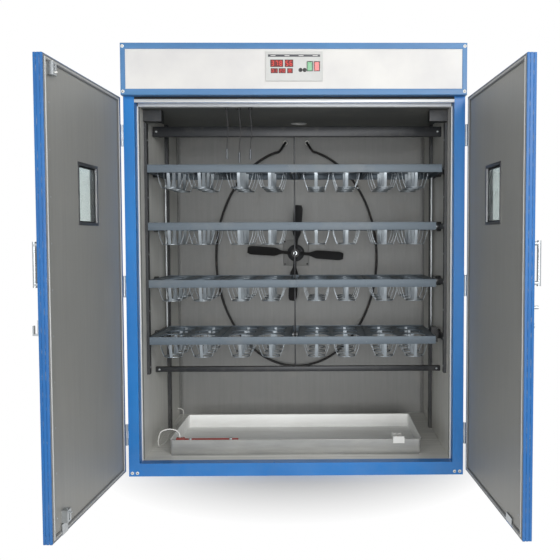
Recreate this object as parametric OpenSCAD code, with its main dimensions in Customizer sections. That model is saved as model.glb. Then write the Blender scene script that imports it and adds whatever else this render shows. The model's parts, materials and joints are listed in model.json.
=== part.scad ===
// Egg incubator cabinet: two doors, four tilting layers of large-egg trays,
// an oval heater with a fan on the back wall, a water pan and a header control box.
// Origin: centre of the cabinet's underside. +X right, +Y to the back, +Z up.

/* [Cabinet] */
// Outside width of the cabinet
cab_w = 1420; // [1300:10:1600]
// Outside depth from the pillar faces to the back
cab_d = 885; // [820:5:1050]
// Height of the cabinet body without the header
body_h = 1615; // [1560:5:1800]
// Thickness of the insulated side and back panels
wall_t = 50; // [40:1:60]
// Width of the corner pillars
pillar_w = 45; // [35:1:50]
// Depth of the front pillars and rails
pillar_d = 45; // [30:1:55]
// Height of the sill and of the floor panel
sill_h = 55; // [45:1:70]
// Thickness of the roof panel
roof_t = 50; // [40:1:60]
// Drop of the front top rail below the top of the body
top_rail_drop = 37; // [25:1:45]

/* [Header box] */
// Height of the header fascia
header_h = 211; // [180:1:240]
// How far the header fascia laps below the body top
header_lap = 19; // [10:1:25]
// How far the fascia stands in front of the pillars
header_proud = 37; // [37:1:60]
// Depth of the header housing behind the pillar faces
housing_d = 230; // [180:5:300]
// Width of the fascia's blue border, top and bottom
border_h = 25; // [18:1:30]
// Width of the fascia's blue border at the sides
border_w = 20; // [15:1:30]
// Sheet thickness of the header parts
sheet = 2; // [1:0.5:3]

/* [Control unit] */
// Width of the control unit
control_w = 233; // [220:1:260]
// Height of the control unit
control_h = 119; // [110:1:140]
// Radius of a push button
button_r = 5; // [4:0.5:6]
// Travel of a push button
button_travel = 1.5; // [1:0.5:2]
// Tilt of a rocker switch from its middle
rocker_tilt = 8; // [5:1:10]

/* [Doors] */
// Thickness of a door leaf
door_t = 32; // [24:1:32]
// Gap between a closed leaf and the pillars, filled by the gasket
door_gap = 5; // [4:0.5:5]
// Height of the leaf's lower edge
door_z0 = 24; // [15:1:30]
// Gap between the leaf and the header
door_top_gap = 4; // [3:1:10]
// Gap between the closed leaves
door_meet_gap = 6; // [4:1:10]
// Opening angle that the leaves are stored at
door_open = 93.2; // [0:0.1:170]
// Width of the window opening
window_w = 162; // [100:1:220]
// Height of the window opening
window_h = 202; // [120:1:300]
// Height of the middle of the window
window_z = 1169; // [1000:1:1300]
// Width of the leaf's edge profile
edge_w = 14; // [10:1:20]

/* [Hinges] */
// Radius of a hinge knuckle
knuckle_r = 5; // [4:0.5:5]
// Radius of a hinge pin
hinge_pin_r = 3; // [2:0.5:3.5]
// Distance of the hinge axis from the cabinet side
hinge_out = 6; // [6:0.5:8]
// Height of a hinge
hinge_h = 90; // [70:1:120]

/* [Turning rack] */
// Depth of a layer from its front rail to its rear rail
layer_d = 394; // [380:1:440]
// Distance of the front rails from the pillar faces
layer_y = 100; // [90:1:130]
// Height of the lowest tilt axis
layer_z = 563; // [540:1:600]
// Distance between two layers
layer_pitch = 249; // [240:1:280]
// Height of a layer's rails
rail_h = 34; // [28:1:40]
// Radius of a pivot stub
pivot_r = 8; // [6:0.5:10]
// Radial running clearance of every pivot
run_gap = 0.08; // [0.03:0.01:0.1]

/* [Egg trays] */
// Diameter of an egg opening
egg_d = 116; // [90:1:118]
// Depth of an egg basket below the tray sheet
basket_h = 94; // [70:1:94]
// Distance between two egg openings across a tray
egg_pitch_x = 134; // [122:1:140]
// Distance between two egg openings from front to back
egg_pitch_y = 124; // [120:1:126]
// Number of straps in an egg basket
straps = 4; // [4:1:8]

/* [Heater and fan] */
// Half width of the oval heater tube
heater_a = 427; // [300:1:450]
// Half height of the oval heater tube
heater_b = 578; // [400:1:590]
// Radius of the heater tube
heater_r = 6; // [4:0.5:8]
// Radius of the fan blades' tips
fan_r = 255; // [180:1:280]
// Pitch of the fan blades from the plane that they turn in
blade_pitch = 30; // [20:1:60]
// Height of the fan's axis
fan_z = 930; // [850:1:1000]

/* [Water pan] */
// Width of the water pan
pan_w = 1115; // [900:5:1150]
// Depth of the water pan
pan_d = 445; // [300:5:480]
// Height of the water pan
pan_h = 67; // [50:1:80]
// Sheet thickness of the water pan
pan_t = 2; // [1:0.5:3]

/* [Hidden] */
$fn = 48;

front_y = -cab_d / 2;
hw = cab_w / 2;                    // half the outside width
iw = hw - wall_t;                  // half the inside width
post_x = hw - pillar_w;            // inner side of the corner pillars
back_y = cab_d - wall_t;           // inner face of the back wall, from the pillar faces
ceil_z = body_h - roof_t;
header_z0 = body_h - header_lap;
header_z1 = header_z0 + header_h;
joint_gap = 0.3;                   // clearance between pieces on different bodies

// Control unit
control_z = header_z0 + 115;
panel_y = 3 - header_proud;        // front face of the fascia panel
bezel_t = 5;
bezel_y = panel_y - bezel_t;       // front face of the control unit
// Display windows: middle x, middle z from the unit's middle, width, height
led_list = [[-71, 12, 50, 27], [-21, 12, 32, 27], [-81, -18, 26, 17],
  [-49, -18, 26, 17], [-17, -18, 20, 17]];
label_bar = [0, 43, 214, 10];
button_x = [26, 43];
button_z = -15;
rocker_x = [64, 93];
rocker_w = 19;
rocker_h = 34;

// Doors
door_y1 = -door_gap;
door_y0 = -door_gap - door_t;
door_z1 = header_z0 - door_top_gap;
door_x0 = door_meet_gap / 2;
hinge_x = hw + hinge_out;
hinge_y = -door_gap / 2;
window_x = (door_x0 + hw) / 2;
liner_t = 1.5;
leaf_fit = 0.1;                    // clearance of the leaf's sheets in its edge profile
gasket_t = door_gap - 0.4;
gasket_w = 18;
gasket_in = 3;                     // inset of the gasket from the edge profile's inner side
hinge_z = [180, 808, 1436];
leaf_t = 2;

// Swing latch on the outer faces
latch_x = 62;
latch_z = 720;
latch_len = 92;

// Bolts of the left leaf
bolt_x = 50;                       // distance of the bolt's axis from the cabinet's middle
bolt_r = 4;
bolt_travel = 16;
bolt_y = door_y1 + 11;
top_bolt_z = body_h - top_rail_drop - 3;
low_bolt_x = 94;

// Rack
axis_y = layer_y + layer_d / 2;
layer_zs = [for (i = [3:-1:0]) layer_z + i * layer_pitch];
rail_t = 3;
layer_x0 = -iw + 20;
right_ends = [iw - 28, iw - 52, iw - 52, iw - 52];
flange_w = 12;
post_mid_x = -14;                  // the middle post and bearing of the layers
post_gap = 15;                     // half the space between the two middle separators
post_w = 6;
mid_pin_r = 5;
mid_l = post_mid_x - post_gap;
mid_r = post_mid_x + post_gap;
sep_left = (layer_x0 + mid_l) / 2;  // middles of the outer separators
sep_right = (mid_r + right_ends[1]) / 2;
bar_d = 24;
low_bar_z = layer_z - 172;
low_bar_h = 24;
top_bar_z = layer_zs[0] + 162;
top_bar_h = 46;
ladder_t = 10;
boss_r = 22;
boss_l = 17;
link_y = axis_y + layer_d / 2 - 14;
link_x = iw - 15;
link_w = 16;
link_t = 5;
link_pin_r = 4;

// Trays
tray_clear = 2;                    // clearance of a tray in its bay, both sides together
tray_w = min(sep_left - layer_x0, right_ends[1] - sep_right) - 1.5 * rail_t - tray_clear;
tray_d = layer_d - 2 * rail_t - 2 * tray_clear;
tray_t = 1.5;
tray_top = rail_h / 2 - 3;
tray_foot = rail_t - rail_h / 2;
basket_r = 38;
ring_w = 6;
strap_w = 13;
strap_t = 1.5;

// Heater and fan
heater_x = -24;
heater_y = back_y - 45;
heater_z = 902;
heater_gap = 12;                   // half the angle left open at the top
fan_x = -28;
fan_y = back_y - 85;
shaft_r = 6;
motor_r = 45;

// Pan
pan_x = -7;
pan_y = 115;

module placed() { translate([0, front_y, 0]) children(); }
// A block between two corners, in any order
module span(a, b) {
  lo = [for (i = [0:2]) min(a[i], b[i])];
  translate(lo) cube([for (i = [0:2]) abs(b[i] - a[i])]);
}
// A rod along one axis: "x", "y" or "z"
module rod(p, r, l, dir) {
  translate(p) rotate(dir == "x" ? [0, 90, 0] : dir == "y" ? [-90, 0, 0] : [0, 0, 0]) cylinder(h = l, r = r);
}
// A rectangular ring in the XZ plane between two depths
module ring_xz(x0, x1, z0, z1, w, h, y0, y1) {
  difference() {
    span([x0, y0, z0], [x1, y1, z1]);
    span([x0 + w, y0 - 1, z0 + h], [x1 - w, y1 + 1, z1 - h]);
  }
}
function unit(v) = v / norm(v);
function ease(p, t) = let (n = len(p) - 1, s = min(floor(t * n), n - 1), f = t * n - s,
  a = p[max(s - 1, 0)], b = p[s], c = p[s + 1], d = p[min(s + 2, n)])
  0.5 * (2 * b + (c - a) * f + (2 * a - 5 * b + 4 * c - d) * f * f + (3 * b - a - 3 * c + d) * f * f * f);
// A round tube swept along a list of ring centres
module tube(pts, r, sides) {
  n = len(pts);
  tan = [for (i = [0:n - 1]) unit(pts[min(i + 1, n - 1)] - pts[max(i - 1, 0)])];
  ref = abs(tan[0][0]) > 0.9 ? [0, 1, 0] : [1, 0, 0];
  side = [for (i = 0, s = unit(cross(tan[0], ref)); i < n;
    i = i + 1, s = i < n ? unit(s - (s * tan[i]) * tan[i]) : s) s];
  rings = [for (i = [0:n - 1]) for (k = [0:sides - 1])
    pts[i] + r * (cos(360 * k / sides) * side[i] + sin(360 * k / sides) * cross(tan[i], side[i]))];
  walls = [for (i = [0:n - 2]) for (k = [0:sides - 1]) let (m = (k + 1) % sides)
    each [[i * sides + k, i * sides + m, (i + 1) * sides + m],
      [i * sides + k, (i + 1) * sides + m, (i + 1) * sides + k]]];
  cap_a = [for (k = [1:sides - 2]) [0, k + 1, k]];
  cap_b = [for (k = [1:sides - 2]) let (o = (n - 1) * sides) [o, o + k, o + k + 1]];
  polyhedron(points = rings, faces = concat([for (f = walls) [f[0], f[2], f[1]]],
    [for (f = cap_a) [f[0], f[2], f[1]]], [for (f = cap_b) [f[0], f[2], f[1]]]));
}

// ---- Cabinet body ----
module cabinet_frame() {
  placed() color([0.20, 0.48, 0.74]) {
    for (s = [-1, 1]) {
      span([s * post_x, 0, 0], [s * hw, pillar_d, body_h]);
      span([s * post_x, back_y, 0], [s * hw, cab_d, body_h]);
      span([s * post_x, pillar_d, 0], [s * hw, back_y, sill_h]);
      span([s * post_x, pillar_d, ceil_z], [s * hw, back_y, body_h]);
    }
    difference() {
      span([-post_x, 0, 0], [post_x, pillar_d, sill_h]);
      rod([-low_bolt_x, bolt_y, sill_h - bolt_travel - 4], bolt_r + 0.5, bolt_travel + 5, "z");
    }
    difference() {
      span([-post_x, 0, body_h - top_rail_drop], [post_x, pillar_d, body_h]);
      rod([-bolt_x, bolt_y, body_h - top_rail_drop - 1], bolt_r + 0.5, bolt_travel + 4, "z");
    }
  }
}
module side_wall(s) {
  placed() color([0.62, 0.63, 0.62]) difference() {
    span([s * iw, pillar_d, sill_h], [s * hw, back_y, ceil_z]);
    for (y = s < 0 ? [back_y - 65] : [back_y - 65, back_y - 125])
      rod([s * iw - (s > 0 ? 1 : wall_t + 1), y, sill_h + 45], 12, wall_t + 2, "x");
  }
}
module left_wall() { side_wall(-1); }
module right_wall() { side_wall(1); }
module back_wall() {
  placed() color([0.55, 0.56, 0.55]) span([-post_x, back_y, 0], [post_x, cab_d, body_h]);
}
module floor_panel() {
  placed() color([0.70, 0.71, 0.70]) span([-post_x, pillar_d, 0], [post_x, back_y, sill_h]);
}
vent_y = 500;
vent_r = 40;
module roof_panel() {
  placed() color([0.60, 0.61, 0.60]) difference() {
    span([-post_x, pillar_d, ceil_z], [post_x, back_y, body_h]);
    rod([0, vent_y, ceil_z - 1], vent_r, roof_t + 2, "z");
  }
}
module ceiling_trim() {
  placed() color([0.80, 0.81, 0.82]) {
    span([-iw, pillar_d - sheet, ceil_z - sheet], [iw, pillar_d, body_h - top_rail_drop]);
    span([-iw, pillar_d, ceil_z - sheet], [iw, pillar_d + 30, ceil_z]);
  }
}

// ---- Header ----
module header_frame() {
  placed() color([0.28, 0.50, 0.71])
    ring_xz(-hw, hw, header_z0, header_z1, border_w, border_h, -header_proud, 0);
}
module header_panel() {
  placed() color([0.90, 0.90, 0.89]) difference() {
    span([-hw + border_w, panel_y, header_z0 + border_h], [hw - border_w, panel_y + sheet, header_z1 - border_h]);
    span([-control_w / 2 + 8, panel_y - 1, control_z - control_h / 2 + 8],
      [control_w / 2 - 8, panel_y + sheet + 1, control_z + control_h / 2 - 8]);
  }
}
module header_housing() {
  placed() color([0.36, 0.55, 0.74]) difference() {
    span([-hw, 0, body_h], [hw, housing_d, header_z1]);
    span([-hw + sheet, -1, body_h - 1], [hw - sheet, housing_d - sheet, header_z1 - sheet]);
    for (x = [-500:40:-220]) span([x, housing_d - 5, body_h + 70], [x + 12, housing_d + 1, header_z1 - 60]);
    rod([450, housing_d - 5, body_h + 60], 12, 10, "y");
  }
}
body_gap = 1;                      // clearance of the control unit's body in the panel
module control_bezel() {
  bw = control_w / 2 - 8 - body_gap;
  bh = control_h / 2 - 8 - body_gap;
  placed() color([0.80, 0.80, 0.79]) translate([0, 0, control_z]) difference() {
    union() {
      span([-control_w / 2, bezel_y, -control_h / 2], [control_w / 2, panel_y, control_h / 2]);
      span([-bw, panel_y, -bh], [bw, 40, bh]);
    }
    span([-bw + 3, bezel_y + 5, -bh + 3], [bw - 3, 41, bh - 3]);
    for (d = led_list)
      span([d[0] - d[2] / 2, bezel_y - 1, d[1] - d[3] / 2], [d[0] + d[2] / 2, bezel_y + 6, d[1] + d[3] / 2]);
    span([label_bar[0] - label_bar[2] / 2, bezel_y - 1, label_bar[1] - label_bar[3] / 2],
      [label_bar[0] + label_bar[2] / 2, bezel_y + 1, label_bar[1] + label_bar[3] / 2]);
    for (x = button_x) rod([x, bezel_y - 1, button_z], button_r + run_gap, 8, "y");
    for (x = rocker_x) {
      span([x - rocker_w / 2 - 0.5, bezel_y - 1, -rocker_h / 2 - 0.8],
        [x + rocker_w / 2 + 0.5, bezel_y + 6, rocker_h / 2 + 0.8]);
      rod([x - rocker_w / 2 - 2, bezel_y + 2.5, 0], 1.2 + run_gap, rocker_w + 4, "x");
    }
  }
}
module led_windows() {
  placed() color([0.55, 0.08, 0.06]) translate([0, 0, control_z]) for (d = led_list)
    span([d[0] - d[2] / 2, bezel_y - 0.5, d[1] - d[3] / 2], [d[0] + d[2] / 2, bezel_y + 4, d[1] + d[3] / 2]);
}
module control_board() {
  bw = control_w / 2 - 8 - body_gap - 3;
  bh = control_h / 2 - 8 - body_gap - 3;
  placed() color([0.10, 0.35, 0.18]) {
    translate([0, 0, control_z]) {
      span([-bw, 10, -bh], [bw, 11.6, bh]);
      for (x = [-70, -40, -10]) span([x, 11.6, -20], [x + 20, 28, 8]);
    }
    span([-400, 60, body_h], [-250, 150, body_h + 80]);
    span([250, 80, body_h], [420, 110, body_h + 40]);
  }
}
module power_inlet() {
  placed() color([0.10, 0.10, 0.11]) difference() {
    union() {
      rod([450, housing_d - sheet - 12, body_h + 60], 12 - run_gap, 12 + sheet, "y");
      rod([450, housing_d, body_h + 60], 17, 7, "y");
      rod([450, housing_d + 7, body_h + 60], 13, 14, "y");
      rod([450, housing_d - sheet - 8, body_h + 60], 17, 6, "y");
    }
    rod([450, housing_d - 40, body_h + 60], 5, 80, "y");
  }
}
module set_screw(x, y, z) {
  rod([x, y - 2.2, z], 7, 2.2, "y");
}
module frame_screws() {
  placed() color([0.88, 0.89, 0.90]) for (s = [-1, 1]) {
    for (z = [header_z0 + 14, header_z1 - 14]) set_screw(s * (hw - 10), -header_proud, z);
    set_screw(s * (hw - 14), 0, 14);
    set_screw(s * (hw - 36), 0, 14);
  }
}

// ---- Turning rack ----
module rack_frame() {
  placed() color([0.22, 0.23, 0.24]) for (s = [-1, 1]) difference() {
    union() {
      span([s * (iw - 12), layer_y + 30, low_bar_z + 20], [s * iw, layer_y + 60, top_bar_z + 24]);
      span([s * (iw - 15), axis_y + layer_d / 2 + 36, sill_h], [s * iw, axis_y + layer_d / 2 + 66, ceil_z]);
      span([s * (iw - 80), layer_y + 20, ceil_z - 50], [s * iw, layer_y + 70, ceil_z - sheet]);
      span([s * (iw - 12), layer_y + 30, ceil_z - 55], [s * iw, layer_y + 60, top_bar_z + 24]);
      for (z = layer_zs) {
        span([s * (iw - ladder_t), layer_y + 60, z - 12], [s * iw, axis_y + layer_d / 2 + 36, z + 12]);
        rod([s > 0 ? iw - boss_l : -iw, axis_y, z], boss_r, boss_l, "x");
      }
    }
    for (z = layer_zs) rod([s > 0 ? iw - boss_l - 1 : -iw + 2, axis_y, z], pivot_r + run_gap, boss_l - 1, "x");
    for (z = [150:100:1500]) rod([s > 0 ? iw - 20 : -iw + 6, axis_y + layer_d / 2 + 51, z], 5, 14, "x");
  }
}
module cross_bars() {
  placed() color([0.16, 0.17, 0.18]) difference() {
    union() {
      span([-iw, axis_y - bar_d / 2, low_bar_z], [iw, axis_y + bar_d / 2, low_bar_z + low_bar_h]);
      span([-iw, axis_y - bar_d / 2, top_bar_z], [iw, axis_y + bar_d / 2, top_bar_z + top_bar_h]);
      span([post_mid_x - post_w / 2, axis_y - 6, low_bar_z + low_bar_h],
        [post_mid_x + post_w / 2, axis_y + 6, top_bar_z]);
      for (z = layer_zs) rod([post_mid_x - 5, axis_y, z], 11, 10, "x");
    }
    for (z = layer_zs) rod([post_mid_x - 6, axis_y, z], mid_pin_r + run_gap, 12, "x");
  }
}
module layer_frame(i) {
  z = layer_zs[i];
  x1 = right_ends[i];
  y1 = layer_y + layer_d;
  placed() color([0.47, 0.52, 0.56]) translate([0, 0, z]) {
    // front and rear rails with the flange that the trays rest on
    for (y = [layer_y, y1]) {
      in = y == layer_y ? 1 : -1;
      span([layer_x0, y, -rail_h / 2], [x1, y + in * rail_t, rail_h / 2]);
      span([layer_x0, y, -rail_h / 2], [x1, y + in * (rail_t + flange_w), -rail_h / 2 + rail_t]);
    }
    for (x = [layer_x0, x1]) {
      in = x < 0 ? 1 : -1;
      span([x, layer_y, -rail_h / 2], [x + in * rail_t, y1, rail_h / 2]);
    }
    // separators between the bays
    for (x = [sep_left, mid_l - rail_t / 2, mid_r + rail_t / 2, sep_right])
      span([x - rail_t / 2, layer_y, -rail_h / 2], [x + rail_t / 2, y1, rail_h / 2]);
    // pivot stubs, middle bearing pin and the pins of the link bars
    rod([-iw + 3, axis_y, 0], pivot_r, layer_x0 + iw - 3 + 1, "x");
    rod([x1 - 1, axis_y, 0], pivot_r, iw - 3 - x1 + 1, "x");
    rod([mid_l - 1, axis_y, 0], mid_pin_r, 2 * post_gap + 2, "x");
    rod([-link_x - link_t / 2 - 2, link_y, 0], link_pin_r, layer_x0 + link_x + link_t / 2 + 3, "x");
    rod([x1 - 1, link_y, 0], link_pin_r, link_x + link_t / 2 + 2 - x1 + 1, "x");
  }
}
module layer_frame_1() { layer_frame(0); }
module layer_frame_2() { layer_frame(1); }
module layer_frame_3() { layer_frame(2); }
module layer_frame_4() { layer_frame(3); }
module basket() {
  drop = basket_h - strap_t;
  lean = atan2(egg_d / 2 - basket_r, drop);
  for (k = [0:straps - 1]) rotate(360 * k / straps + 90)
    translate([egg_d / 2 + strap_t / 2, 0, -strap_t]) rotate([0, lean, 0])
      translate([-strap_t / 2, -strap_w / 2, -drop / cos(lean)]) cube([strap_t, strap_w, drop / cos(lean)]);
  translate([0, 0, -basket_h]) difference() {
    cylinder(h = 4, r = basket_r + 2);
    translate([0, 0, -1]) cylinder(h = 6, r = basket_r + 2 - ring_w);
  }
}
module egg_tray() {
  difference() {
    span([-tray_w / 2, 0, tray_foot], [tray_w / 2, tray_d, tray_top]);
    span([-tray_w / 2 + tray_t, tray_t, tray_foot - 1],
      [tray_w / 2 - tray_t, tray_d - tray_t, tray_top - tray_t]);
    for (sx = [-0.5, 0.5]) for (sy = [-1:1])
      translate([sx * egg_pitch_x, tray_d / 2 + sy * egg_pitch_y, 0]) cylinder(h = 50, r = egg_d / 2, $fn = 64);
  }
  for (sx = [-0.5, 0.5]) for (sy = [-1:1])
    translate([sx * egg_pitch_x, tray_d / 2 + sy * egg_pitch_y, tray_top]) basket();
}
// Middles of the four bays
tray_xs = [(layer_x0 + rail_t / 2 + sep_left) / 2, (sep_left + mid_l - rail_t / 2) / 2,
  (mid_r + rail_t / 2 + sep_right) / 2, (sep_right + right_ends[1] - rail_t / 2) / 2];
module egg_trays(i) {
  placed() color([0.45, 0.51, 0.56]) for (x = tray_xs)
    translate([x, layer_y + rail_t + tray_clear, layer_zs[i]]) egg_tray();
}
module egg_trays_1() { egg_trays(0); }
module egg_trays_2() { egg_trays(1); }
module egg_trays_3() { egg_trays(2); }
module egg_trays_4() { egg_trays(3); }
module link_bars() {
  placed() color([0.60, 0.61, 0.62]) for (s = [-1, 1]) difference() {
    span([s * link_x - link_t / 2, link_y - link_w / 2, layer_z - 14],
      [s * link_x + link_t / 2, link_y + link_w / 2, layer_zs[0] + 14]);
    for (z = layer_zs)
      rod([s * link_x - link_t, link_y, z], link_pin_r + run_gap, 2 * link_t, "x");
  }
}
module turn_motor() {
  x1 = iw - boss_l;
  placed() color([0.14, 0.14, 0.15]) difference() {
    union() {
      span([x1 - 29, axis_y - 32, layer_z - 34], [x1, axis_y + 32, layer_z + 34]);
      rod([x1 - 15, axis_y + 32, layer_z], 13, 50, "y");
    }
    rod([x1 - 30, axis_y, layer_z], pivot_r + run_gap, 32, "x");
  }
}

// ---- Heater and fan ----
module heater_ring() {
  arc = [for (k = [0:60]) let (t = heater_gap + (360 - 2 * heater_gap) * k / 60)
    [heater_x + heater_a * sin(t), heater_y, heater_z + heater_b * cos(t)]];
  // each end turns up and back into the wall
  end_a = [[arc[0][0] - 22, heater_y + 6, arc[0][2] + 32], [arc[0][0] - 30, heater_y + 22, arc[0][2] + 46],
    [arc[0][0] - 31, heater_y + 38, arc[0][2] + 49]];
  end_b = [[arc[60][0] + 22, heater_y + 6, arc[60][2] + 32], [arc[60][0] + 30, heater_y + 22, arc[60][2] + 46],
    [arc[60][0] + 31, heater_y + 38, arc[60][2] + 49]];
  placed() color([0.07, 0.07, 0.08]) tube(concat([for (i = [2:-1:0]) end_a[i]], arc, end_b), heater_r, 10);
  placed() color([0.75, 0.76, 0.77]) for (t = [50, 130, 230, 310]) {
    p = [heater_x + heater_a * sin(t), heater_y, heater_z + heater_b * cos(t)];
    span([p[0] - 8, heater_y + heater_r + joint_gap, p[2] - 8], [p[0] + 8, back_y, p[2] + 8]);
  }
  // bushes that the tube's ends go into
  placed() color([0.85, 0.85, 0.84]) for (p = [end_a[2], end_b[2]]) difference() {
    rod([p[0], back_y - 14, p[2]], heater_r + 6, 14, "y");
    rod([p[0], back_y - 15, p[2]], heater_r + 2, 13, "y");
  }
}
module fan_motor() {
  placed() color([0.20, 0.20, 0.21]) {
    rod([fan_x, fan_y + 30, fan_z], motor_r, back_y - 5 - fan_y - 30, "y");
    span([fan_x - 70, back_y - 5, fan_z - 70], [fan_x + 70, back_y, fan_z + 70]);
    rod([fan_x, fan_y - 22, fan_z], shaft_r, 53, "y");
  }
}
module fan_blades() {
  placed() color([0.10, 0.10, 0.11]) translate([fan_x, fan_y, fan_z]) {
    difference() {
      union() {
        rod([0, -18, 0], 26, 36, "y");
        for (k = [0:3]) rotate([0, 90 * k + 4, 0]) translate([0, 0, 20]) rotate([0, 0, blade_pitch])
          translate([-25, -1.5, 0]) cube([50, 3, fan_r - 20]);
      }
      rod([0, -30, 0], shaft_r + run_gap, 60, "y");
    }
  }
}

// ---- Water pan and its fittings ----
module water_pan() {
  x0 = pan_x - pan_w / 2;
  x1 = pan_x + pan_w / 2;
  placed() color([0.72, 0.73, 0.73]) difference() {
    union() {
      span([x0, pan_y, sill_h], [x1, pan_y + pan_d, sill_h + pan_h]);
      span([x0, pan_y - 10, sill_h], [x1, pan_y, sill_h + pan_t]);
    }
    span([x0 + pan_t, pan_y + pan_t, sill_h + pan_t],
      [x1 - pan_t, pan_y + pan_d - pan_t, sill_h + pan_h + 1]);
  }
}
module pan_heater() {
  z = sill_h + pan_t;
  rim = sill_h + pan_h;
  placed() color([0.50, 0.12, 0.10]) {
    rod([pan_x - pan_w / 2 + 50, pan_y + 40, rim - 9], 5, 250, "x");
    for (x = [80, 260]) span([pan_x - pan_w / 2 + x, pan_y + 34, z],
      [pan_x - pan_w / 2 + x + 12, pan_y + 46, rim - 11]);
    span([pan_x - pan_w / 2 + 24, pan_y + 28, z], [pan_x - pan_w / 2 + 60, pan_y + 52, rim - 1]);
  }
}
module float_valve() {
  x = pan_x + 430;
  z = sill_h + pan_h;
  placed() color([0.85, 0.86, 0.86]) {
    difference() {
      span([x, pan_y - 6, z - 18], [x + 50, pan_y + 12, z + 12]);
      span([x - 1, pan_y - joint_gap, z - 19], [x + 51, pan_y + pan_t + joint_gap, z]);
    }
    rod([x + 25, pan_y + 12, z + 2], 4, 60, "y");
    rod([x + 25, pan_y + 90, z - 40], 24, 46, "z");
  }
}

// ---- Sensors, wires and vents ----
// Hanging probes: x, y, height of the wire's lower end
probes = [[-292, 72, 1392], [-240, 78, 1376], [-192, 70, 1388]];
lead_r = 2;
probe_l = 46;
module air_sensors() {
  placed() color([0.88, 0.88, 0.86]) for (p = probes) {
    rod([p[0], p[1], p[2] - probe_l], 5, probe_l, "z");
    rod([p[0], p[1], ceil_z - sheet - 8], 9, 8, "z");
  }
}
module sensor_wires() {
  placed() color([0.15, 0.15, 0.16]) for (p = probes) {
    top = ceil_z - sheet - 8;
    n = 14;
    tube([for (k = [0:n]) let (f = k / n)
      [p[0] + 5 * pow(sin(180 * f), 2), p[1] + 2 * pow(sin(180 * f), 2), top + (p[2] - top) * f]], lead_r, 8);
  }
}
lead_route = [[-660, 770, 100], [-646, 770, 100], [-632, 766, 92], [-626, 740, 72], [-628, 700, 62],
  [-634, 620, 60], [-622, 520, 60], [-632, 420, 60], [-618, 320, 60], [-634, 240, 62], [-628, 190, 76],
  [-622, 160, 110], [-606, 140, 150], [-580, 140, 162], [-552, 148, 160], [-530, 154, 146], [-524, 155, 122]];
module pan_lead() {
  placed() color([0.88, 0.88, 0.86])
    tube([for (k = [0:76]) ease(lead_route, k / 76)], 2.5, 8);
}
module vent_collar() {
  placed() color([0.80, 0.80, 0.79]) difference() {
    union() {
      rod([0, vent_y, body_h], vent_r + 22, 2, "z");
      rod([0, vent_y, body_h - roof_t], vent_r - 0.2, roof_t + 30, "z");
    }
    rod([0, vent_y, body_h - roof_t - 1], vent_r - 4, roof_t + 40, "z");
    rod([-vent_r - 1, vent_y, body_h + 18], 3 + run_gap, 2 * vent_r + 2, "x");
  }
}
module vent_damper() {
  placed() color([0.70, 0.70, 0.70]) {
    rod([0, vent_y, body_h + 17], vent_r - 6, 2, "z");
    rod([-vent_r - 4, vent_y, body_h + 18], 3, 2 * vent_r + 24, "x");
    span([vent_r + 10, vent_y - 5, body_h + 10], [vent_r + 18, vent_y + 5, body_h + 40]);
  }
}

// ---- Hinges ----
// Knuckles share the height: the door's in the middle, the cabinet's above and below
module knuckle(s, z0, z1) {
  rod([s * hinge_x, hinge_y, z0], knuckle_r, z1 - z0, "z");
}
module cabinet_hinges() {
  placed() color([0.78, 0.79, 0.80]) for (s = [-1, 1]) for (z = hinge_z) {
    span([s * hw, hinge_y, z - hinge_h / 2], [s * (hw + leaf_t), 44, z - hinge_h / 6 - joint_gap]);
    span([s * hw, hinge_y, z + hinge_h / 6 + joint_gap], [s * (hw + leaf_t), 44, z + hinge_h / 2]);
    span([s * hw, knuckle_r + 1, z - hinge_h / 2], [s * (hw + leaf_t), 44, z + hinge_h / 2]);
    knuckle(s, z - hinge_h / 2, z - hinge_h / 6 - joint_gap);
    knuckle(s, z + hinge_h / 6 + joint_gap, z + hinge_h / 2);
    rod([s * hinge_x, hinge_y, z - hinge_h / 2], hinge_pin_r, hinge_h, "z");
  }
}
// Carries a closed leaf's pieces to the stored opening angle
module on_door(s) {
  placed() translate([s * hinge_x, hinge_y, 0]) rotate([0, 0, s * door_open])
    translate([-s * hinge_x, -hinge_y, 0]) children();
}
module door_frame(s) {
  on_door(s) color([0.15, 0.47, 0.76])
    ring_xz(min(s * door_x0, s * hw), max(s * door_x0, s * hw), door_z0, door_z1, edge_w, edge_w, door_y0, door_y1);
}
module window_cut(s, w, h, y0, y1) {
  span([s * window_x - w / 2, y0, window_z - h / 2], [s * window_x + w / 2, y1, window_z + h / 2]);
}
module leaf_slab(s, y0, y1) {
  e = edge_w + leaf_fit;
  span([s * (door_x0 + e), y0, door_z0 + e], [s * (hw - e), y1, door_z1 - e]);
}
module door_panel(s) {
  on_door(s) color([0.90, 0.90, 0.89]) difference() {
    leaf_slab(s, door_y0 + 1, door_y1 - 2 - liner_t);
    window_cut(s, window_w + 8, window_h + 8, door_y0 - 1, door_y1 + 1);
  }
}
module door_liner(s) {
  on_door(s) color([0.53, 0.54, 0.53]) difference() {
    leaf_slab(s, door_y1 - 2 - liner_t, door_y1 - 2);
    window_cut(s, window_w + 8, window_h + 8, door_y0 - 1, door_y1 + 1);
  }
}
module window_frame(s) {
  on_door(s) color([0.30, 0.31, 0.32]) difference() {
    union() {
      window_cut(s, window_w + 8, window_h + 8, door_y0 + 1, door_y1 - 2);
      window_cut(s, window_w + 22, window_h + 22, door_y1 - 2, door_y1);
      window_cut(s, window_w + 22, window_h + 22, door_y0 - 1, door_y0 + 1);
    }
    window_cut(s, window_w, window_h, door_y0 - 2, door_y1 + 1);
  }
}
module window_glass(s) {
  on_door(s) color([0.75, 0.82, 0.84, 0.4]) for (y = [door_y0 + 5, door_y1 - 14])
    window_cut(s, window_w, window_h, y, y + 4);
}
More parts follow.
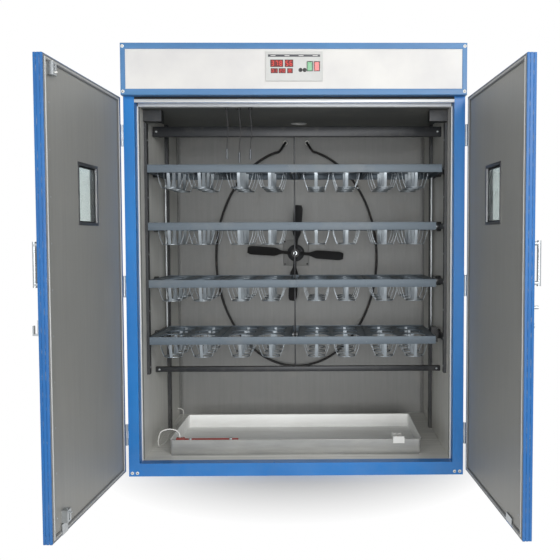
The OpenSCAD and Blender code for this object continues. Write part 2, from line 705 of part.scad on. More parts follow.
module door_gasket(s) {
  x0 = door_x0 + gasket_in;
  x1 = hw - edge_w - gasket_in;
  zlo = door_z0 + 3;
  on_door(s) color([0.62, 0.63, 0.64]) difference() {
    ring_xz(min(s * x0, s * x1), max(s * x0, s * x1), zlo, door_z1 - 3, gasket_w, gasket_w,
      door_y1 + leaf_fit, door_y1 + gasket_t);
    if (s < 0) span([-low_bolt_x - 26, door_y1 - 1, zlo - 1], [-low_bolt_x + 26, door_y1 + 9, zlo + gasket_w + 1]);
    if (s > 0) span([98, door_y1 - 1, zlo - 1], [164, door_y1 + 9, zlo + gasket_w + 1]);
  }
}
// A closed-loop pull on the outer face
module pull(s) {
  x = s * (door_x0 + 62);
  for (z = [860, 990]) rod([x, door_y0 - 36, z], 7, 37, "y");
  rod([x, door_y0 - 36, 850], 7, 150, "z");
}
module door_hinge_leaves(s) {
  for (z = hinge_z) difference() {
    union() {
      span([s * hw, hinge_y, z - hinge_h / 6 + joint_gap], [s * (hw + leaf_t), door_y0 + 3, z + hinge_h / 6 - joint_gap]);
      span([s * hw, door_y1 - 6, z - hinge_h / 2], [s * (hw + leaf_t), door_y0 + 3, z + hinge_h / 2]);
      knuckle(s, z - hinge_h / 6 + joint_gap, z + hinge_h / 6 - joint_gap);
    }
    rod([s * hinge_x, hinge_y, z - hinge_h], hinge_pin_r + run_gap, 2 * hinge_h, "z");
  }
}
module bolt_body(x, z0, z1) {
  difference() {
    span([x - 15, door_y1 - 2, z0], [x + 15, bolt_y + bolt_r + 3, z1]);
    rod([x, bolt_y, z0 - 1], bolt_r + run_gap, z1 - z0 + 2, "z");
    span([x - 3.5, bolt_y, z0 + 6], [x + 3.5, bolt_y + 20, z1 - 6]);
  }
}
low_bolt_z = sill_h + 6;
top_body = [top_bolt_z - 46, top_bolt_z - 4];
low_body = [low_bolt_z + 4, low_bolt_z + 46];
module left_door_fittings() {
  on_door(-1) color([0.80, 0.81, 0.82]) {
    door_hinge_leaves(-1);
    pull(-1);
    bolt_body(-bolt_x, top_body[0], top_body[1]);
    bolt_body(-low_bolt_x, low_body[0], low_body[1]);
    span([-low_bolt_x - 22, door_y1, door_z0 + 2], [-low_bolt_x + 22, door_y1 + 3.5, low_bolt_z + 2]);
    // keeper hook of the swing latch
    span([-26, door_y0 - 4, latch_z - 20], [-6, door_y0, latch_z + 30]);
    span([-22, door_y0 - 22, latch_z - 20], [-10, door_y0 - 4, latch_z - 14]);
    span([-22, door_y0 - 22, latch_z - 14], [-10, door_y0 - 18, latch_z + 12]);
  }
}
module right_door_fittings() {
  on_door(1) color([0.80, 0.81, 0.82]) {
    door_hinge_leaves(1);
    pull(1);
    span([102, door_y1, door_z0 + 10], [160, door_y1 + 3.5, door_z0 + 36]);
    // plate and pivot stud of the swing latch
    span([latch_x - 22, door_y0 - 3, latch_z - 25], [latch_x + 22, door_y0 + 1, latch_z + 35]);
    rod([latch_x, door_y0 - 18, latch_z], 6, 16, "y");
    rod([latch_x, door_y0 - 20, latch_z], 10, 3, "y");
  }
}
// The gap between the stud's head and the plate holds the bar
module latch_bar() {
  on_door(1) color([0.82, 0.83, 0.84]) translate([latch_x, 0, latch_z]) difference() {
    union() {
      span([-9, door_y0 - 15, -9], [9, door_y0 - 5, latch_len]);
      rod([0, door_y0 - 34, latch_len - 32], 6, 19, "y");
    }
    rod([0, door_y0 - 20, 0], 6 + run_gap, 20, "y");
  }
}
module bolt_rod(x, z0, z1, knob_z) {
  rod([x, bolt_y, z0], bolt_r, z1 - z0, "z");
  rod([x, bolt_y, knob_z], 3, 16, "y");
}
module top_bolt() {
  on_door(-1) color([0.92, 0.92, 0.91])
    bolt_rod(-bolt_x, top_body[0] + 2, top_bolt_z, top_body[0] + 10);
}
module bottom_bolt() {
  on_door(-1) color([0.80, 0.81, 0.82])
    bolt_rod(-low_bolt_x, low_bolt_z, low_body[1] - 2, low_body[1] - 10);
}

// ---- Controls ----
module button(x) {
  placed() color([0.06, 0.06, 0.07]) translate([x, 0, control_z + button_z]) {
    rod([0, bezel_y - 2.5, 0], button_r, 8.5, "y");
    rod([0, bezel_y + 6, 0], button_r + 1.5, 2, "y");
  }
}
module set_button() { button(button_x[0]); }
module reset_button() { button(button_x[1]); }
// A rocker with two faces that meet in a shallow V, turned about its trunnions
module rocker(x, c) {
  h = rocker_h / 2;
  placed() color(c) translate([x, bezel_y + 2.5, control_z]) rotate([rocker_tilt, 0, 0]) {
    rotate([90, 0, 90]) translate([0, 0, -rocker_w / 2]) linear_extrude(height = rocker_w)
      polygon([[-5, 0], [-2.5 - h * tan(rocker_tilt), h], [4, h], [4, -h], [-2.5 - h * tan(rocker_tilt), -h]]);
    rod([-rocker_w / 2 - 1.5, 0, 0], 1.2, rocker_w + 3, "x");
  }
}
module power_rocker() { rocker(rocker_x[0], [0.05, 0.45, 0.20]); }
module alarm_rocker() { rocker(rocker_x[1], [0.70, 0.08, 0.08]); }

module left_door_frame() { door_frame(-1); }
module left_door_panel() { door_panel(-1); }
module left_door_liner() { door_liner(-1); }
module left_window_frame() { window_frame(-1); }
module left_window_glass() { window_glass(-1); }
module left_door_gasket() { door_gasket(-1); }
module right_door_frame() { door_frame(1); }
module right_door_panel() { door_panel(1); }
module right_door_liner() { door_liner(1); }
module right_window_frame() { window_frame(1); }
module right_window_glass() { window_glass(1); }
module right_door_gasket() { door_gasket(1); }

cabinet_frame();
left_wall();
right_wall();
back_wall();
floor_panel();
roof_panel();
ceiling_trim();
header_frame();
header_panel();
header_housing();
control_bezel();
led_windows();
control_board();
power_inlet();
frame_screws();
rack_frame();
cross_bars();
heater_ring();
fan_motor();
fan_blades();
water_pan();
pan_heater();
float_valve();
air_sensors();
sensor_wires();
vent_collar();
vent_damper();
cabinet_hinges();
turn_motor();
set_button();
reset_button();
power_rocker();
alarm_rocker();
layer_frame_1();
layer_frame_2();
layer_frame_3();
layer_frame_4();
egg_trays_1();
egg_trays_2();
egg_trays_3();
egg_trays_4();
link_bars();
left_door_frame();
left_door_panel();
left_door_liner();
left_window_frame();
left_window_glass();
left_door_gasket();
left_door_fittings();
top_bolt();
bottom_bolt();
right_door_frame();
right_door_panel();
right_door_liner();
right_window_frame();
right_window_glass();
right_door_gasket();
right_door_fittings();
latch_bar();
pan_lead();
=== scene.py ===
"""Looks of the egg incubator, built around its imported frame.

+X is right, +Y goes to the back, +Z is up. The classes work in millimetres with y = 0 at the
front faces of the corner pillars; Surface.object() turns that into metres in the CAD frame.
Every new piece is a surface computed with numpy and rides on the body it belongs to.
"""
import json
import logging
import math
from dataclasses import dataclass, field
from enum import Enum

import bpy
import mathutils
import numpy as np
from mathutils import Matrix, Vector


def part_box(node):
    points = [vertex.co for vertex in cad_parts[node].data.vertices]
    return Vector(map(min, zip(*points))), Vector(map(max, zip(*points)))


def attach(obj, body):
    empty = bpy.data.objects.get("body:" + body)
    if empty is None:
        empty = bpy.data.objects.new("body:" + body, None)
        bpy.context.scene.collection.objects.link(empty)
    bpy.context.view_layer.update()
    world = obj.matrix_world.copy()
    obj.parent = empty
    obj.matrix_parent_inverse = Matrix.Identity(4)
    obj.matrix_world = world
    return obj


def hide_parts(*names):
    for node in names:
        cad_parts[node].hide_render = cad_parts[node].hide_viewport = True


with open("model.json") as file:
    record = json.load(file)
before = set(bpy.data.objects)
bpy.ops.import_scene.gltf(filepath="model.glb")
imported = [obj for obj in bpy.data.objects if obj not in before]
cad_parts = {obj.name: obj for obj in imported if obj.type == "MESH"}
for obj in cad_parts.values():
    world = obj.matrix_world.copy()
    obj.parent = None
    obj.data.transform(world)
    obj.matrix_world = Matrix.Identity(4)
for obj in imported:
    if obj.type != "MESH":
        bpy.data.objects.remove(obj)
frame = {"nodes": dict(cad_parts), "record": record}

logging.basicConfig(level=logging.INFO, format="%(message)s")
log = logging.getLogger("incubator")
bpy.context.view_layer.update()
MM = 0.001
ORIGIN = np.array([0.0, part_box("cabinet_frame")[0].y, 0.0])
Array = np.ndarray
Shape = tuple[Array, list[Array]]


def span(node: str) -> tuple[Array, Array]:
    """A CAD node's lowest and highest corners in millimetres from the pillar faces."""
    low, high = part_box(node)
    return (np.array(low) - ORIGIN) / MM, (np.array(high) - ORIGIN) / MM


# ---------------------------------------------------------------- surfaces
class Axis(Enum):
    """A row axis, as the index of its coordinate."""

    X = 0
    Y = 1
    Z = 2


class Surface:
    """Collects closed surfaces with their material numbers and makes one mesh of them."""

    def __init__(self) -> None:
        """Starts with no points and no faces."""
        self.points: list[Array] = []
        self.faces: list[tuple[Array, int]] = []
        self.count = 0

    def add(self, shape: Shape, finish: int | tuple[int, ...] = 0) -> None:
        """Adds a shape.

        Args:
            shape: an (n, 3) array of points, and arrays of faces that number them.
            finish: the material number of the faces, or one number for each array of faces.
        """
        points, faces = shape
        numbers = finish if isinstance(finish, tuple) else (finish,) * len(faces)
        self.points.append(np.asarray(points, float).reshape(-1, 3))
        self.faces += [(np.asarray(f, int) + self.count, number)
                       for f, number in zip(faces, numbers) if len(f)]
        self.count += len(self.points[-1])

    def move(self, turn: Array, about: Array) -> None:
        """Turns all points by a 3 by 3 matrix about a point."""
        self.points = [(p - about) @ turn.T + about for p in self.points]

    def object(self, name: str, sharp: float = 35.0) -> bpy.types.Object:
        """Makes the mesh object; edges over the given angle in degrees stay sharp."""
        mesh = bpy.data.meshes.new(name)
        points = np.concatenate(self.points) * MM + ORIGIN
        mesh.vertices.add(len(points))
        mesh.vertices.foreach_set("co", points.astype(np.float32).ravel())
        corners = np.concatenate([f.ravel() for f, _ in self.faces])
        totals = np.concatenate([np.full(len(f), f.shape[1]) for f, _ in self.faces])
        finishes = np.concatenate([np.full(len(f), m) for f, m in self.faces])
        mesh.loops.add(len(corners))
        mesh.loops.foreach_set("vertex_index", corners.astype(np.int32))
        mesh.polygons.add(len(totals))
        starts = np.concatenate([[0], np.cumsum(totals)[:-1]])
        mesh.polygons.foreach_set("loop_start", starts.astype(np.int32))
        mesh.polygons.foreach_set("material_index", finishes.astype(np.int32))
        mesh.polygons.foreach_set("use_smooth", np.ones(len(totals), bool))
        mesh.update(calc_edges=True)
        mesh.validate()
        mesh.set_sharp_from_angle(angle=math.radians(sharp))
        made = bpy.data.objects.new(name, mesh)
        bpy.context.scene.collection.objects.link(made)
        return made


def grid_faces(rows: int, columns: int, wrap: bool) -> Array:
    """Quads of a grid of rows by columns; the columns close into a ring where wrap is set."""
    last = columns if wrap else columns - 1
    i, j = np.meshgrid(np.arange(rows - 1), np.arange(last), indexing="ij")
    k = (j + 1) % columns
    quads = [i * columns + j, i * columns + k, (i + 1) * columns + k, (i + 1) * columns + j]
    return np.stack(quads, -1).reshape(-1, 4)


def outward(points: Array, faces: list[Array]) -> list[Array]:
    """Turns the faces of a closed surface outwards, by the sign of the volume they enclose."""
    volume = 0.0
    for f in faces:
        for k in range(1, f.shape[1] - 1):
            a, b, c = points[f[:, 0]], points[f[:, k]], points[f[:, k + 1]]
            volume += float(np.einsum("ij,ij->i", a, np.cross(b, c)).sum())
    return faces if volume > 0 else [f[:, ::-1] for f in faces]


def loft(rings: Array, loop: bool = False) -> Shape:
    """A closed surface through rings of equal length: quads between the rings, flat ends or a loop.

    Args:
        rings: an (m, n, 3) array, ring by ring.
        loop: joins the last ring to the first one.
    """
    m, n = rings.shape[:2]
    points = rings.reshape(-1, 3)
    if loop:
        faces = [grid_faces(m + 1, n, True) % (m * n)]
    else:
        faces = [grid_faces(m, n, True), np.arange(n)[None, ::-1], np.arange((m - 1) * n, m * n)[None]]
    centre = points.mean(0)
    return points, outward(points - centre, faces)


def rounded_box(low: Array, high: Array, radius: float, steps: int = 2) -> Shape:
    """A block with rounded edges: each corner of an inner block carries an eighth of a sphere.

    The point at longitude a and latitude b is the inner corner of that octant plus the
    radius times the unit vector of a and b.
    """
    low, high = np.minimum(low, high), np.maximum(low, high)
    radius = float(min(radius, *(0.49 * (high - low))))
    half = (high - low) / 2 - radius
    quarter = np.linspace(0, 90, steps + 1)
    lon = np.radians(np.concatenate([quarter + 90 * k for k in range(4)]))
    lat = np.radians(np.concatenate([quarter - 90, quarter]))
    sign_x = np.repeat([1, -1, -1, 1], steps + 1)
    sign_y = np.repeat([1, 1, -1, -1], steps + 1)
    sign_z = np.repeat([-1, 1], steps + 1)
    b, a = np.meshgrid(lat, lon, indexing="ij")
    unit = np.stack([np.cos(b) * np.cos(a), np.cos(b) * np.sin(a), np.sin(b)], -1)
    corner = np.stack(np.broadcast_arrays(sign_x[None] * half[0], sign_y[None] * half[1],
                                          sign_z[:, None] * half[2]), -1)
    return loft((low + high) / 2 + corner + radius * unit)


def turned(profile: Array, axis: Axis, sides: int) -> Array:
    """A profile of (radius, height) points turned round an axis: one ring for each of its points."""
    profile = np.asarray(profile, float)
    turn = np.linspace(0, 2 * np.pi, sides, endpoint=False)
    r, h = profile[:, 0][:, None], profile[:, 1][:, None]
    local = np.stack([r * np.cos(turn), r * np.sin(turn), h + 0 * turn], -1)
    order = {Axis.X: [2, 0, 1], Axis.Y: [1, 2, 0], Axis.Z: [0, 1, 2]}[axis]
    return local[..., order]


def lathe(profile: Array, centre: Array, axis: Axis, sides: int = 32) -> Shape:
    """A solid turned round an axis through the centre, with flat ends."""
    return loft(np.asarray(centre, float) + turned(profile, axis, sides))


def torus(profile: Array, centre: Array, axis: Axis, sides: int = 48) -> Shape:
    """A closed profile turned into a ring round an axis through the centre."""
    return loft(np.asarray(centre, float) + turned(profile, axis, sides).swapaxes(0, 1), loop=True)


def prism(outline: Array, axis: Axis, start: float, end: float) -> Shape:
    """An outline in the two other coordinates, in X, Y, Z order, carried along an axis."""
    outline = np.asarray(outline, float)
    others = [k for k in range(3) if k != axis.value]
    rings = np.zeros((2, len(outline), 3))
    rings[:, :, others] = outline
    rings[0, :, axis.value], rings[1, :, axis.value] = start, end
    return loft(rings)


def fillet(outline: Array, radius: float, steps: int = 3) -> Array:
    """Rounds the corners of a closed outline with arcs of about the radius.

    Each corner becomes a quadratic curve between the points one radius before and after it.
    """
    p = np.asarray(outline, float)
    back, ahead = np.roll(p, 1, 0) - p, np.roll(p, -1, 0) - p
    lb, la = np.linalg.norm(back, axis=1), np.linalg.norm(ahead, axis=1)
    reach = np.minimum(radius, 0.45 * np.minimum(lb, la))[:, None]
    a, c = p + back / lb[:, None] * reach, p + ahead / la[:, None] * reach
    t = np.linspace(0, 1, steps + 1)[None, :, None]
    curve = (1 - t) ** 2 * a[:, None] + 2 * t * (1 - t) * p[:, None] + t ** 2 * c[:, None]
    return curve.reshape(-1, p.shape[1])


def corners_of(x: tuple[float, float], z: tuple[float, float]) -> list[tuple[float, ...]]:
    """A rectangle's corners in turn, each with the signs of its two ways inwards."""
    return [(x[0], z[0], 1, 1), (x[1], z[0], -1, 1), (x[1], z[1], -1, -1), (x[0], z[1], 1, -1)]


def frame_ring(x: tuple[float, float], z: tuple[float, float], section: Array) -> Shape:
    """A mitred rectangular ring: a section of (distance inwards, depth Y) carried round a rectangle."""
    section = np.asarray(section, float)
    corners = np.array(corners_of(x, z), float)
    inwards, depth = section[:, 0][None], section[:, 1][None]
    rings = np.stack([corners[:, 0:1] + corners[:, 2:3] * inwards, depth + 0 * corners[:, 0:1],
                      corners[:, 1:2] + corners[:, 3:4] * inwards], -1)
    return loft(rings, loop=True)


def smooth_route(points: Array, count: int) -> Array:
    """A Catmull-Rom curve through given points, resampled to count points."""
    p = np.asarray(points, float)
    t = np.linspace(0, len(p) - 1.000001, count)
    i = np.floor(t).astype(int)
    f = (t - i)[:, None]
    a, b = p[np.maximum(i - 1, 0)], p[i]
    c, d = p[np.minimum(i + 1, len(p) - 1)], p[np.minimum(i + 2, len(p) - 1)]
    square, cube = 2 * a - 5 * b + 4 * c - d, 3 * b - a - 3 * c + d
    return 0.5 * (2 * b + (c - a) * f + square * f ** 2 + cube * f ** 3)


def swept(route: Array, section: Array, hint: Array, loop: bool = False) -> Shape:
    """A section carried along a route.

    The frame at each point is the tangent, the unit vector across it and the hint, and their
    product. A section's first coordinate goes along the across vector, its second along the other.
    """
    route, section = np.asarray(route, float), np.asarray(section, float)
    tangent = np.roll(route, -1, 0) - np.roll(route, 1, 0) if loop else np.gradient(route, axis=0)
    tangent /= np.linalg.norm(tangent, axis=1)[:, None]
    across = np.cross(tangent, np.asarray(hint, float))
    across /= np.linalg.norm(across, axis=1)[:, None]
    other = np.cross(across, tangent)
    first, second = section[None, :, 0:1], section[None, :, 1:2]
    rings = route[:, None] + first * across[:, None] + second * other[:, None]
    return loft(rings, loop)


def circle(radius: float, sides: int = 12) -> Array:
    """A circle's points as an outline."""
    a = np.linspace(0, 2 * np.pi, sides, endpoint=False)
    return radius * np.stack([np.cos(a), np.sin(a)], -1)


def copies(shape: Shape, turns: Array, places: Array) -> Shape:
    """Copies a shape: each copy is turned by its 3 by 3 matrix and then moved to its place."""
    points, faces = shape
    moved = np.einsum("kij,nj->kni", turns, points) + np.asarray(places, float)[:, None]
    shift = (np.arange(len(turns)) * len(points))[:, None, None]
    return moved.reshape(-1, 3), [(f[None] + shift).reshape(-1, f.shape[1]) for f in faces]


def about_z(degrees: Array) -> Array:
    """Rotation matrices about Z for an array of angles."""
    a = np.radians(np.atleast_1d(degrees))
    zero, one = 0 * a, 0 * a + 1
    rows = [[np.cos(a), -np.sin(a), zero], [np.sin(a), np.cos(a), zero], [zero, zero, one]]
    return np.moveaxis(np.array(rows), 2, 0)


def dome(radius: float, height: float, sides: int = 10) -> Shape:
    """A low round head on the XY plane, shrinking in two rings towards its top."""
    profile = [(radius, -0.05), (radius * 0.94, height * 0.55), (radius * 0.55, height)]
    return lathe(profile, (0, 0, 0), Axis.Z, sides)


def heads(places: Array, normal: tuple[float, float, float], radius: float = 3.0,
          height: float = 1.4) -> Shape:
    """Round screw or rivet heads at many places, all looking along one axis."""
    n = np.asarray(normal, float)
    across = np.roll(n, 1)
    turn = np.stack([across, np.cross(n, across), n], 1)
    places = np.asarray(places, float).reshape(-1, 3)
    return copies(dome(radius, height), np.repeat(turn[None], len(places), 0), places)


def grid_of(x: object, y: object, z: object) -> Array:
    """Every combination of the given coordinates, as an (n, 3) array."""
    return np.stack(np.meshgrid(x, y, z, indexing="ij"), -1).reshape(-1, 3).astype(float)


def piece(made: Surface, name: str, body: str, finishes: list[bpy.types.Material],
          stands_for: tuple[str, ...] = (), sharp: float = 35.0) -> bpy.types.Object:
    """Turns a surface into a piece of the object.

    Args:
        made: the collected surface.
        name: the piece's name.
        body: the CAD body it rides on.
        finishes: its materials, in the order of the surface's material numbers.
        stands_for: the CAD nodes that it replaces.
        sharp: edges over this angle in degrees stay sharp.

    Returns:
        The new object.
    """
    obj = made.object(name, sharp)
    for finish in finishes:
        obj.data.materials.append(finish)
    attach(obj, body)
    if stands_for:
        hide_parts(*stands_for)
    log.info("%s: %d faces on %s", name, len(obj.data.polygons), body)
    return obj


def dress(node: str, finish: bpy.types.Material) -> None:
    """Gives a CAD node that stays visible its material."""
    mesh = frame["nodes"][node].data
    mesh.materials.clear()
    mesh.materials.append(finish)
    log.info("%s: dressed in %s", node, finish.name)


# ---------------------------------------------------------------- finishes
def linear(red: float, green: float, blue: float) -> tuple[float, float, float, float]:
    """A colour given in 0 to 255 as it looks, as the linear colour that a shader reads."""
    c = np.array([red, green, blue]) / 255.0
    c = np.where(c <= 0.04045, c / 12.92, ((c + 0.055) / 1.055) ** 2.4)
    return (float(c[0]), float(c[1]), float(c[2]), 1.0)


def shade(colour: Array, gain: float, lift: float = 0.0) -> tuple[float, ...]:
    """A linear colour times a gain plus a lift, no brighter than white."""
    return tuple(np.append(np.minimum(np.asarray(colour)[:3] * gain + lift, 1), 1))


class Nodes:
    """A small wrapper round a node tree."""

    def __init__(self, tree: bpy.types.NodeTree) -> None:
        """Keeps the tree that nodes are made in."""
        self.tree = tree

    def make(self, kind: str, inputs: dict | None = None, **settings: object) -> bpy.types.Node:
        """Makes a node, sets its properties, and fills or links its inputs by name or number."""
        node = self.tree.nodes.new(kind)
        for key, value in settings.items():
            setattr(node, key, value)
        for key, value in (inputs or {}).items():
            if isinstance(value, bpy.types.NodeSocket):
                self.tree.links.new(value, node.inputs[key])
            else:
                node.inputs[key].default_value = value
        return node

    def math(self, operation: str, a: object, b: object = 0.0, clamp: bool = False) -> bpy.types.NodeSocket:
        """A Math node's result."""
        return self.make("ShaderNodeMath", {0: a, 1: b}, operation=operation, use_clamp=clamp).outputs[0]

    def mix(self, share: object, a: object, b: object) -> bpy.types.NodeSocket:
        """A colour mixed from two colours."""
        node = self.make("ShaderNodeMix", data_type="RGBA")
        for index, value in ((0, share), (6, a), (7, b)):
            if isinstance(value, bpy.types.NodeSocket):
                self.tree.links.new(value, node.inputs[index])
            else:
                node.inputs[index].default_value = value
        return node.outputs[2]

    def spread(self, value: bpy.types.NodeSocket, low: float, high: float,
               to_low: float, to_high: float) -> bpy.types.NodeSocket:
        """Maps a value from one range to another, and clamps it there."""
        node = self.make("ShaderNodeMapRange", {0: value, 1: low, 2: high, 3: to_low, 4: to_high})
        return node.outputs[0]


def group(name: str, inputs: dict[str, float],
          outputs: list[str]) -> tuple[bpy.types.NodeTree, Nodes, dict, bpy.types.Node]:
    """Makes an empty shader group with float inputs and outputs.

    Returns:
        The group, its node helper, the input sockets by name, and the output node.
    """
    tree = bpy.data.node_groups.new(name, "ShaderNodeTree")
    for key, value in inputs.items():
        socket = tree.interface.new_socket(name=key, in_out="INPUT", socket_type="NodeSocketFloat")
        socket.default_value = value
    for key in outputs:
        kind = "NodeSocketVector" if key == "Normal" else "NodeSocketFloat"
        tree.interface.new_socket(name=key, in_out="OUTPUT", socket_type=kind)
    nodes = Nodes(tree)
    entry, leave = tree.nodes.new("NodeGroupInput"), tree.nodes.new("NodeGroupOutput")
    return tree, nodes, {k: entry.outputs[k] for k in inputs}, leave


def grain_group() -> bpy.types.NodeTree:
    """Fine grain and slow patches: two noises on Object coordinates."""
    tree, n, i, leave = group("surface_grain", {"Scale": 200.0, "Patch": 4.0}, ["Fine", "Patches"])
    place = n.make("ShaderNodeTexCoord").outputs["Object"]
    fine = n.make("ShaderNodeTexNoise", {"Vector": place, "Scale": i["Scale"], "Detail": 3.0})
    slow = n.make("ShaderNodeTexNoise",
                  {"Vector": place, "Scale": i["Patch"], "Detail": 4.0, "Roughness": 0.6})
    tree.links.new(fine.outputs["Fac"], leave.inputs["Fine"])
    tree.links.new(slow.outputs["Fac"], leave.inputs["Patches"])
    return tree


def brushed_group() -> bpy.types.NodeTree:
    """Long thin streaks: a noise stretched by its three scales."""
    tree, n, i, leave = group("brushed_streaks", {"Along X": 3.0, "Along Y": 3.0, "Along Z": 300.0},
                              ["Streaks"])
    place = n.make("ShaderNodeTexCoord").outputs["Object"]
    scale = n.make("ShaderNodeCombineXYZ", {0: i["Along X"], 1: i["Along Y"], 2: i["Along Z"]}).outputs[0]
    stretched = n.make("ShaderNodeVectorMath", {0: place, 1: scale}, operation="MULTIPLY").outputs[0]
    noise = n.make("ShaderNodeTexNoise",
                   {"Vector": stretched, "Scale": 1.0, "Detail": 5.0, "Roughness": 0.65})
    tree.links.new(noise.outputs["Fac"], leave.inputs["Streaks"])
    return tree


def wear_group() -> bpy.types.NodeTree:
    """Worn edges, where the rounded normal leaves the true one, and the rounded normal itself."""
    tree, n, i, leave = group("edge_wear", {"Radius": 0.002, "Amount": 1.0}, ["Wear", "Normal"])
    soft = n.make("ShaderNodeBevel", {"Radius": i["Radius"]}, samples=4).outputs[0]
    true = n.make("ShaderNodeNewGeometry").outputs["Normal"]
    dot = n.make("ShaderNodeVectorMath", {0: soft, 1: true}, operation="DOT_PRODUCT").outputs["Value"]
    edge = n.spread(dot, 0.995, 0.85, 0.0, 1.0)
    place = n.make("ShaderNodeTexCoord").outputs["Object"]
    noise = n.make("ShaderNodeTexNoise", {"Vector": place, "Scale": 38.0, "Detail": 6.0}).outputs["Fac"]
    broken = n.math("MULTIPLY", edge, n.spread(noise, 0.5, 0.66, 0.0, 1.0))
    tree.links.new(n.math("MULTIPLY", broken, i["Amount"], clamp=True), leave.inputs["Wear"])
    tree.links.new(soft, leave.inputs["Normal"])
    return tree


def dust_group() -> bpy.types.NodeTree:
    """Dust on faces that look up and near the floor, thinned by a noise."""
    tree, n, i, leave = group("dust_film", {"Amount": 0.3, "Reach": 0.35}, ["Dust"])
    normal = n.make("ShaderNodeNewGeometry").outputs["Normal"]
    up = n.make("ShaderNodeSeparateXYZ", {0: normal}).outputs[2]
    place = n.make("ShaderNodeTexCoord").outputs["Object"]
    height = n.make("ShaderNodeSeparateXYZ", {0: place}).outputs[2]
    low = n.math("SUBTRACT", 1.0, n.math("DIVIDE", height, i["Reach"]), clamp=True)
    lying = n.spread(up, 0.3, 1.0, 0.0, 1.0)
    noise = n.make("ShaderNodeTexNoise", {"Vector": place, "Scale": 9.0, "Detail": 7.0, "Roughness": 0.7})
    thin = n.spread(noise.outputs["Fac"], 0.35, 0.7, 0.2, 1.0)
    mask = n.math("MULTIPLY", n.math("MAXIMUM", lying, low), thin)
    tree.links.new(n.math("MULTIPLY", mask, i["Amount"], clamp=True), leave.inputs["Dust"])
    return tree


class Effect(Enum):
    """The shared shader effects."""

    GRAIN = "surface_grain"
    STREAKS = "brushed_streaks"
    WEAR = "edge_wear"
    DUST = "dust_film"


EFFECTS = {Effect.GRAIN: grain_group(), Effect.STREAKS: brushed_group(), Effect.WEAR: wear_group(),
           Effect.DUST: dust_group()}


class Finish:
    """A material under construction: a Principled BSDF and the shared effects."""

    def __init__(self, name: str) -> None:
        """Makes the material and its shader."""
        self.material = bpy.data.materials.new(name)
        self.material.use_nodes = True
        self.n = Nodes(self.material.node_tree)
        self.shader = self.material.node_tree.nodes["Principled BSDF"]

    def effect(self, effect: Effect, **values: float) -> bpy.types.Node:
        """Places a shared effect with its own values; underscores stand for spaces."""
        node = self.n.make("ShaderNodeGroup", node_tree=EFFECTS[effect])
        for key, value in values.items():
            node.inputs[key.replace("_", " ")].default_value = value
        return node

    def set(self, **values: object) -> None:
        """Sets or links the shader's sockets; underscores stand for spaces."""
        for key, value in values.items():
            socket = self.shader.inputs[key.replace("_", " ")]
            if isinstance(value, bpy.types.NodeSocket):
                self.material.node_tree.links.new(value, socket)
            else:
                socket.default_value = value

    def bump(self, height: bpy.types.NodeSocket, strength: float, distance: float,
             edges: bpy.types.Node | None = None) -> None:
        """Feeds a height to the shader's normal, over the softened edges where they are given."""
        inputs = {"Height": height, "Strength": strength, "Distance": distance}
        if edges is not None:
            inputs["Normal"] = edges.outputs["Normal"]
        self.set(Normal=self.n.make("ShaderNodeBump", inputs).outputs[0])


@dataclass(frozen=True)
class Paint:
    """Sprayed paint with orange peel, slow patches, worn edges and some dust."""

    name: str
    colour: tuple[float, float, float]
    roughness: float = 0.35
    peel: float = 0.12
    wear: float = 0.8
    dust: float = 0.18
    bare: tuple[float, float, float] = (150, 152, 155)

    def material(self) -> bpy.types.Material:
        """Builds the material."""
        f = Finish(self.name)
        base = np.array(linear(*self.colour))
        grain = f.effect(Effect.GRAIN, Scale=420.0, Patch=2.5)
        patches = f.n.spread(grain.outputs["Patches"], 0.3, 0.7, 0.0, 1.0)
        darker, lighter = tuple(base * [0.88, 0.88, 0.9, 1]), tuple(np.minimum(base * [1.1, 1.1, 1.08, 1], 1))
        colour = f.n.mix(patches, darker, lighter)
        edges = f.effect(Effect.WEAR, Radius=0.0016, Amount=self.wear)
        colour = f.n.mix(edges.outputs["Wear"], colour, linear(*self.bare))
        dust = f.effect(Effect.DUST, Amount=self.dust).outputs["Dust"]
        colour = f.n.mix(dust, colour, linear(168, 160, 146))
        rough = f.n.math("ADD", f.n.math("MULTIPLY", patches, 0.12), self.roughness - 0.06)
        rough = f.n.math("ADD", rough, f.n.math("MULTIPLY", dust, 0.5), clamp=True)
        f.set(Base_Color=colour, Roughness=rough)
        f.bump(grain.outputs["Fine"], self.peel, 0.0004, edges)
        return f.material


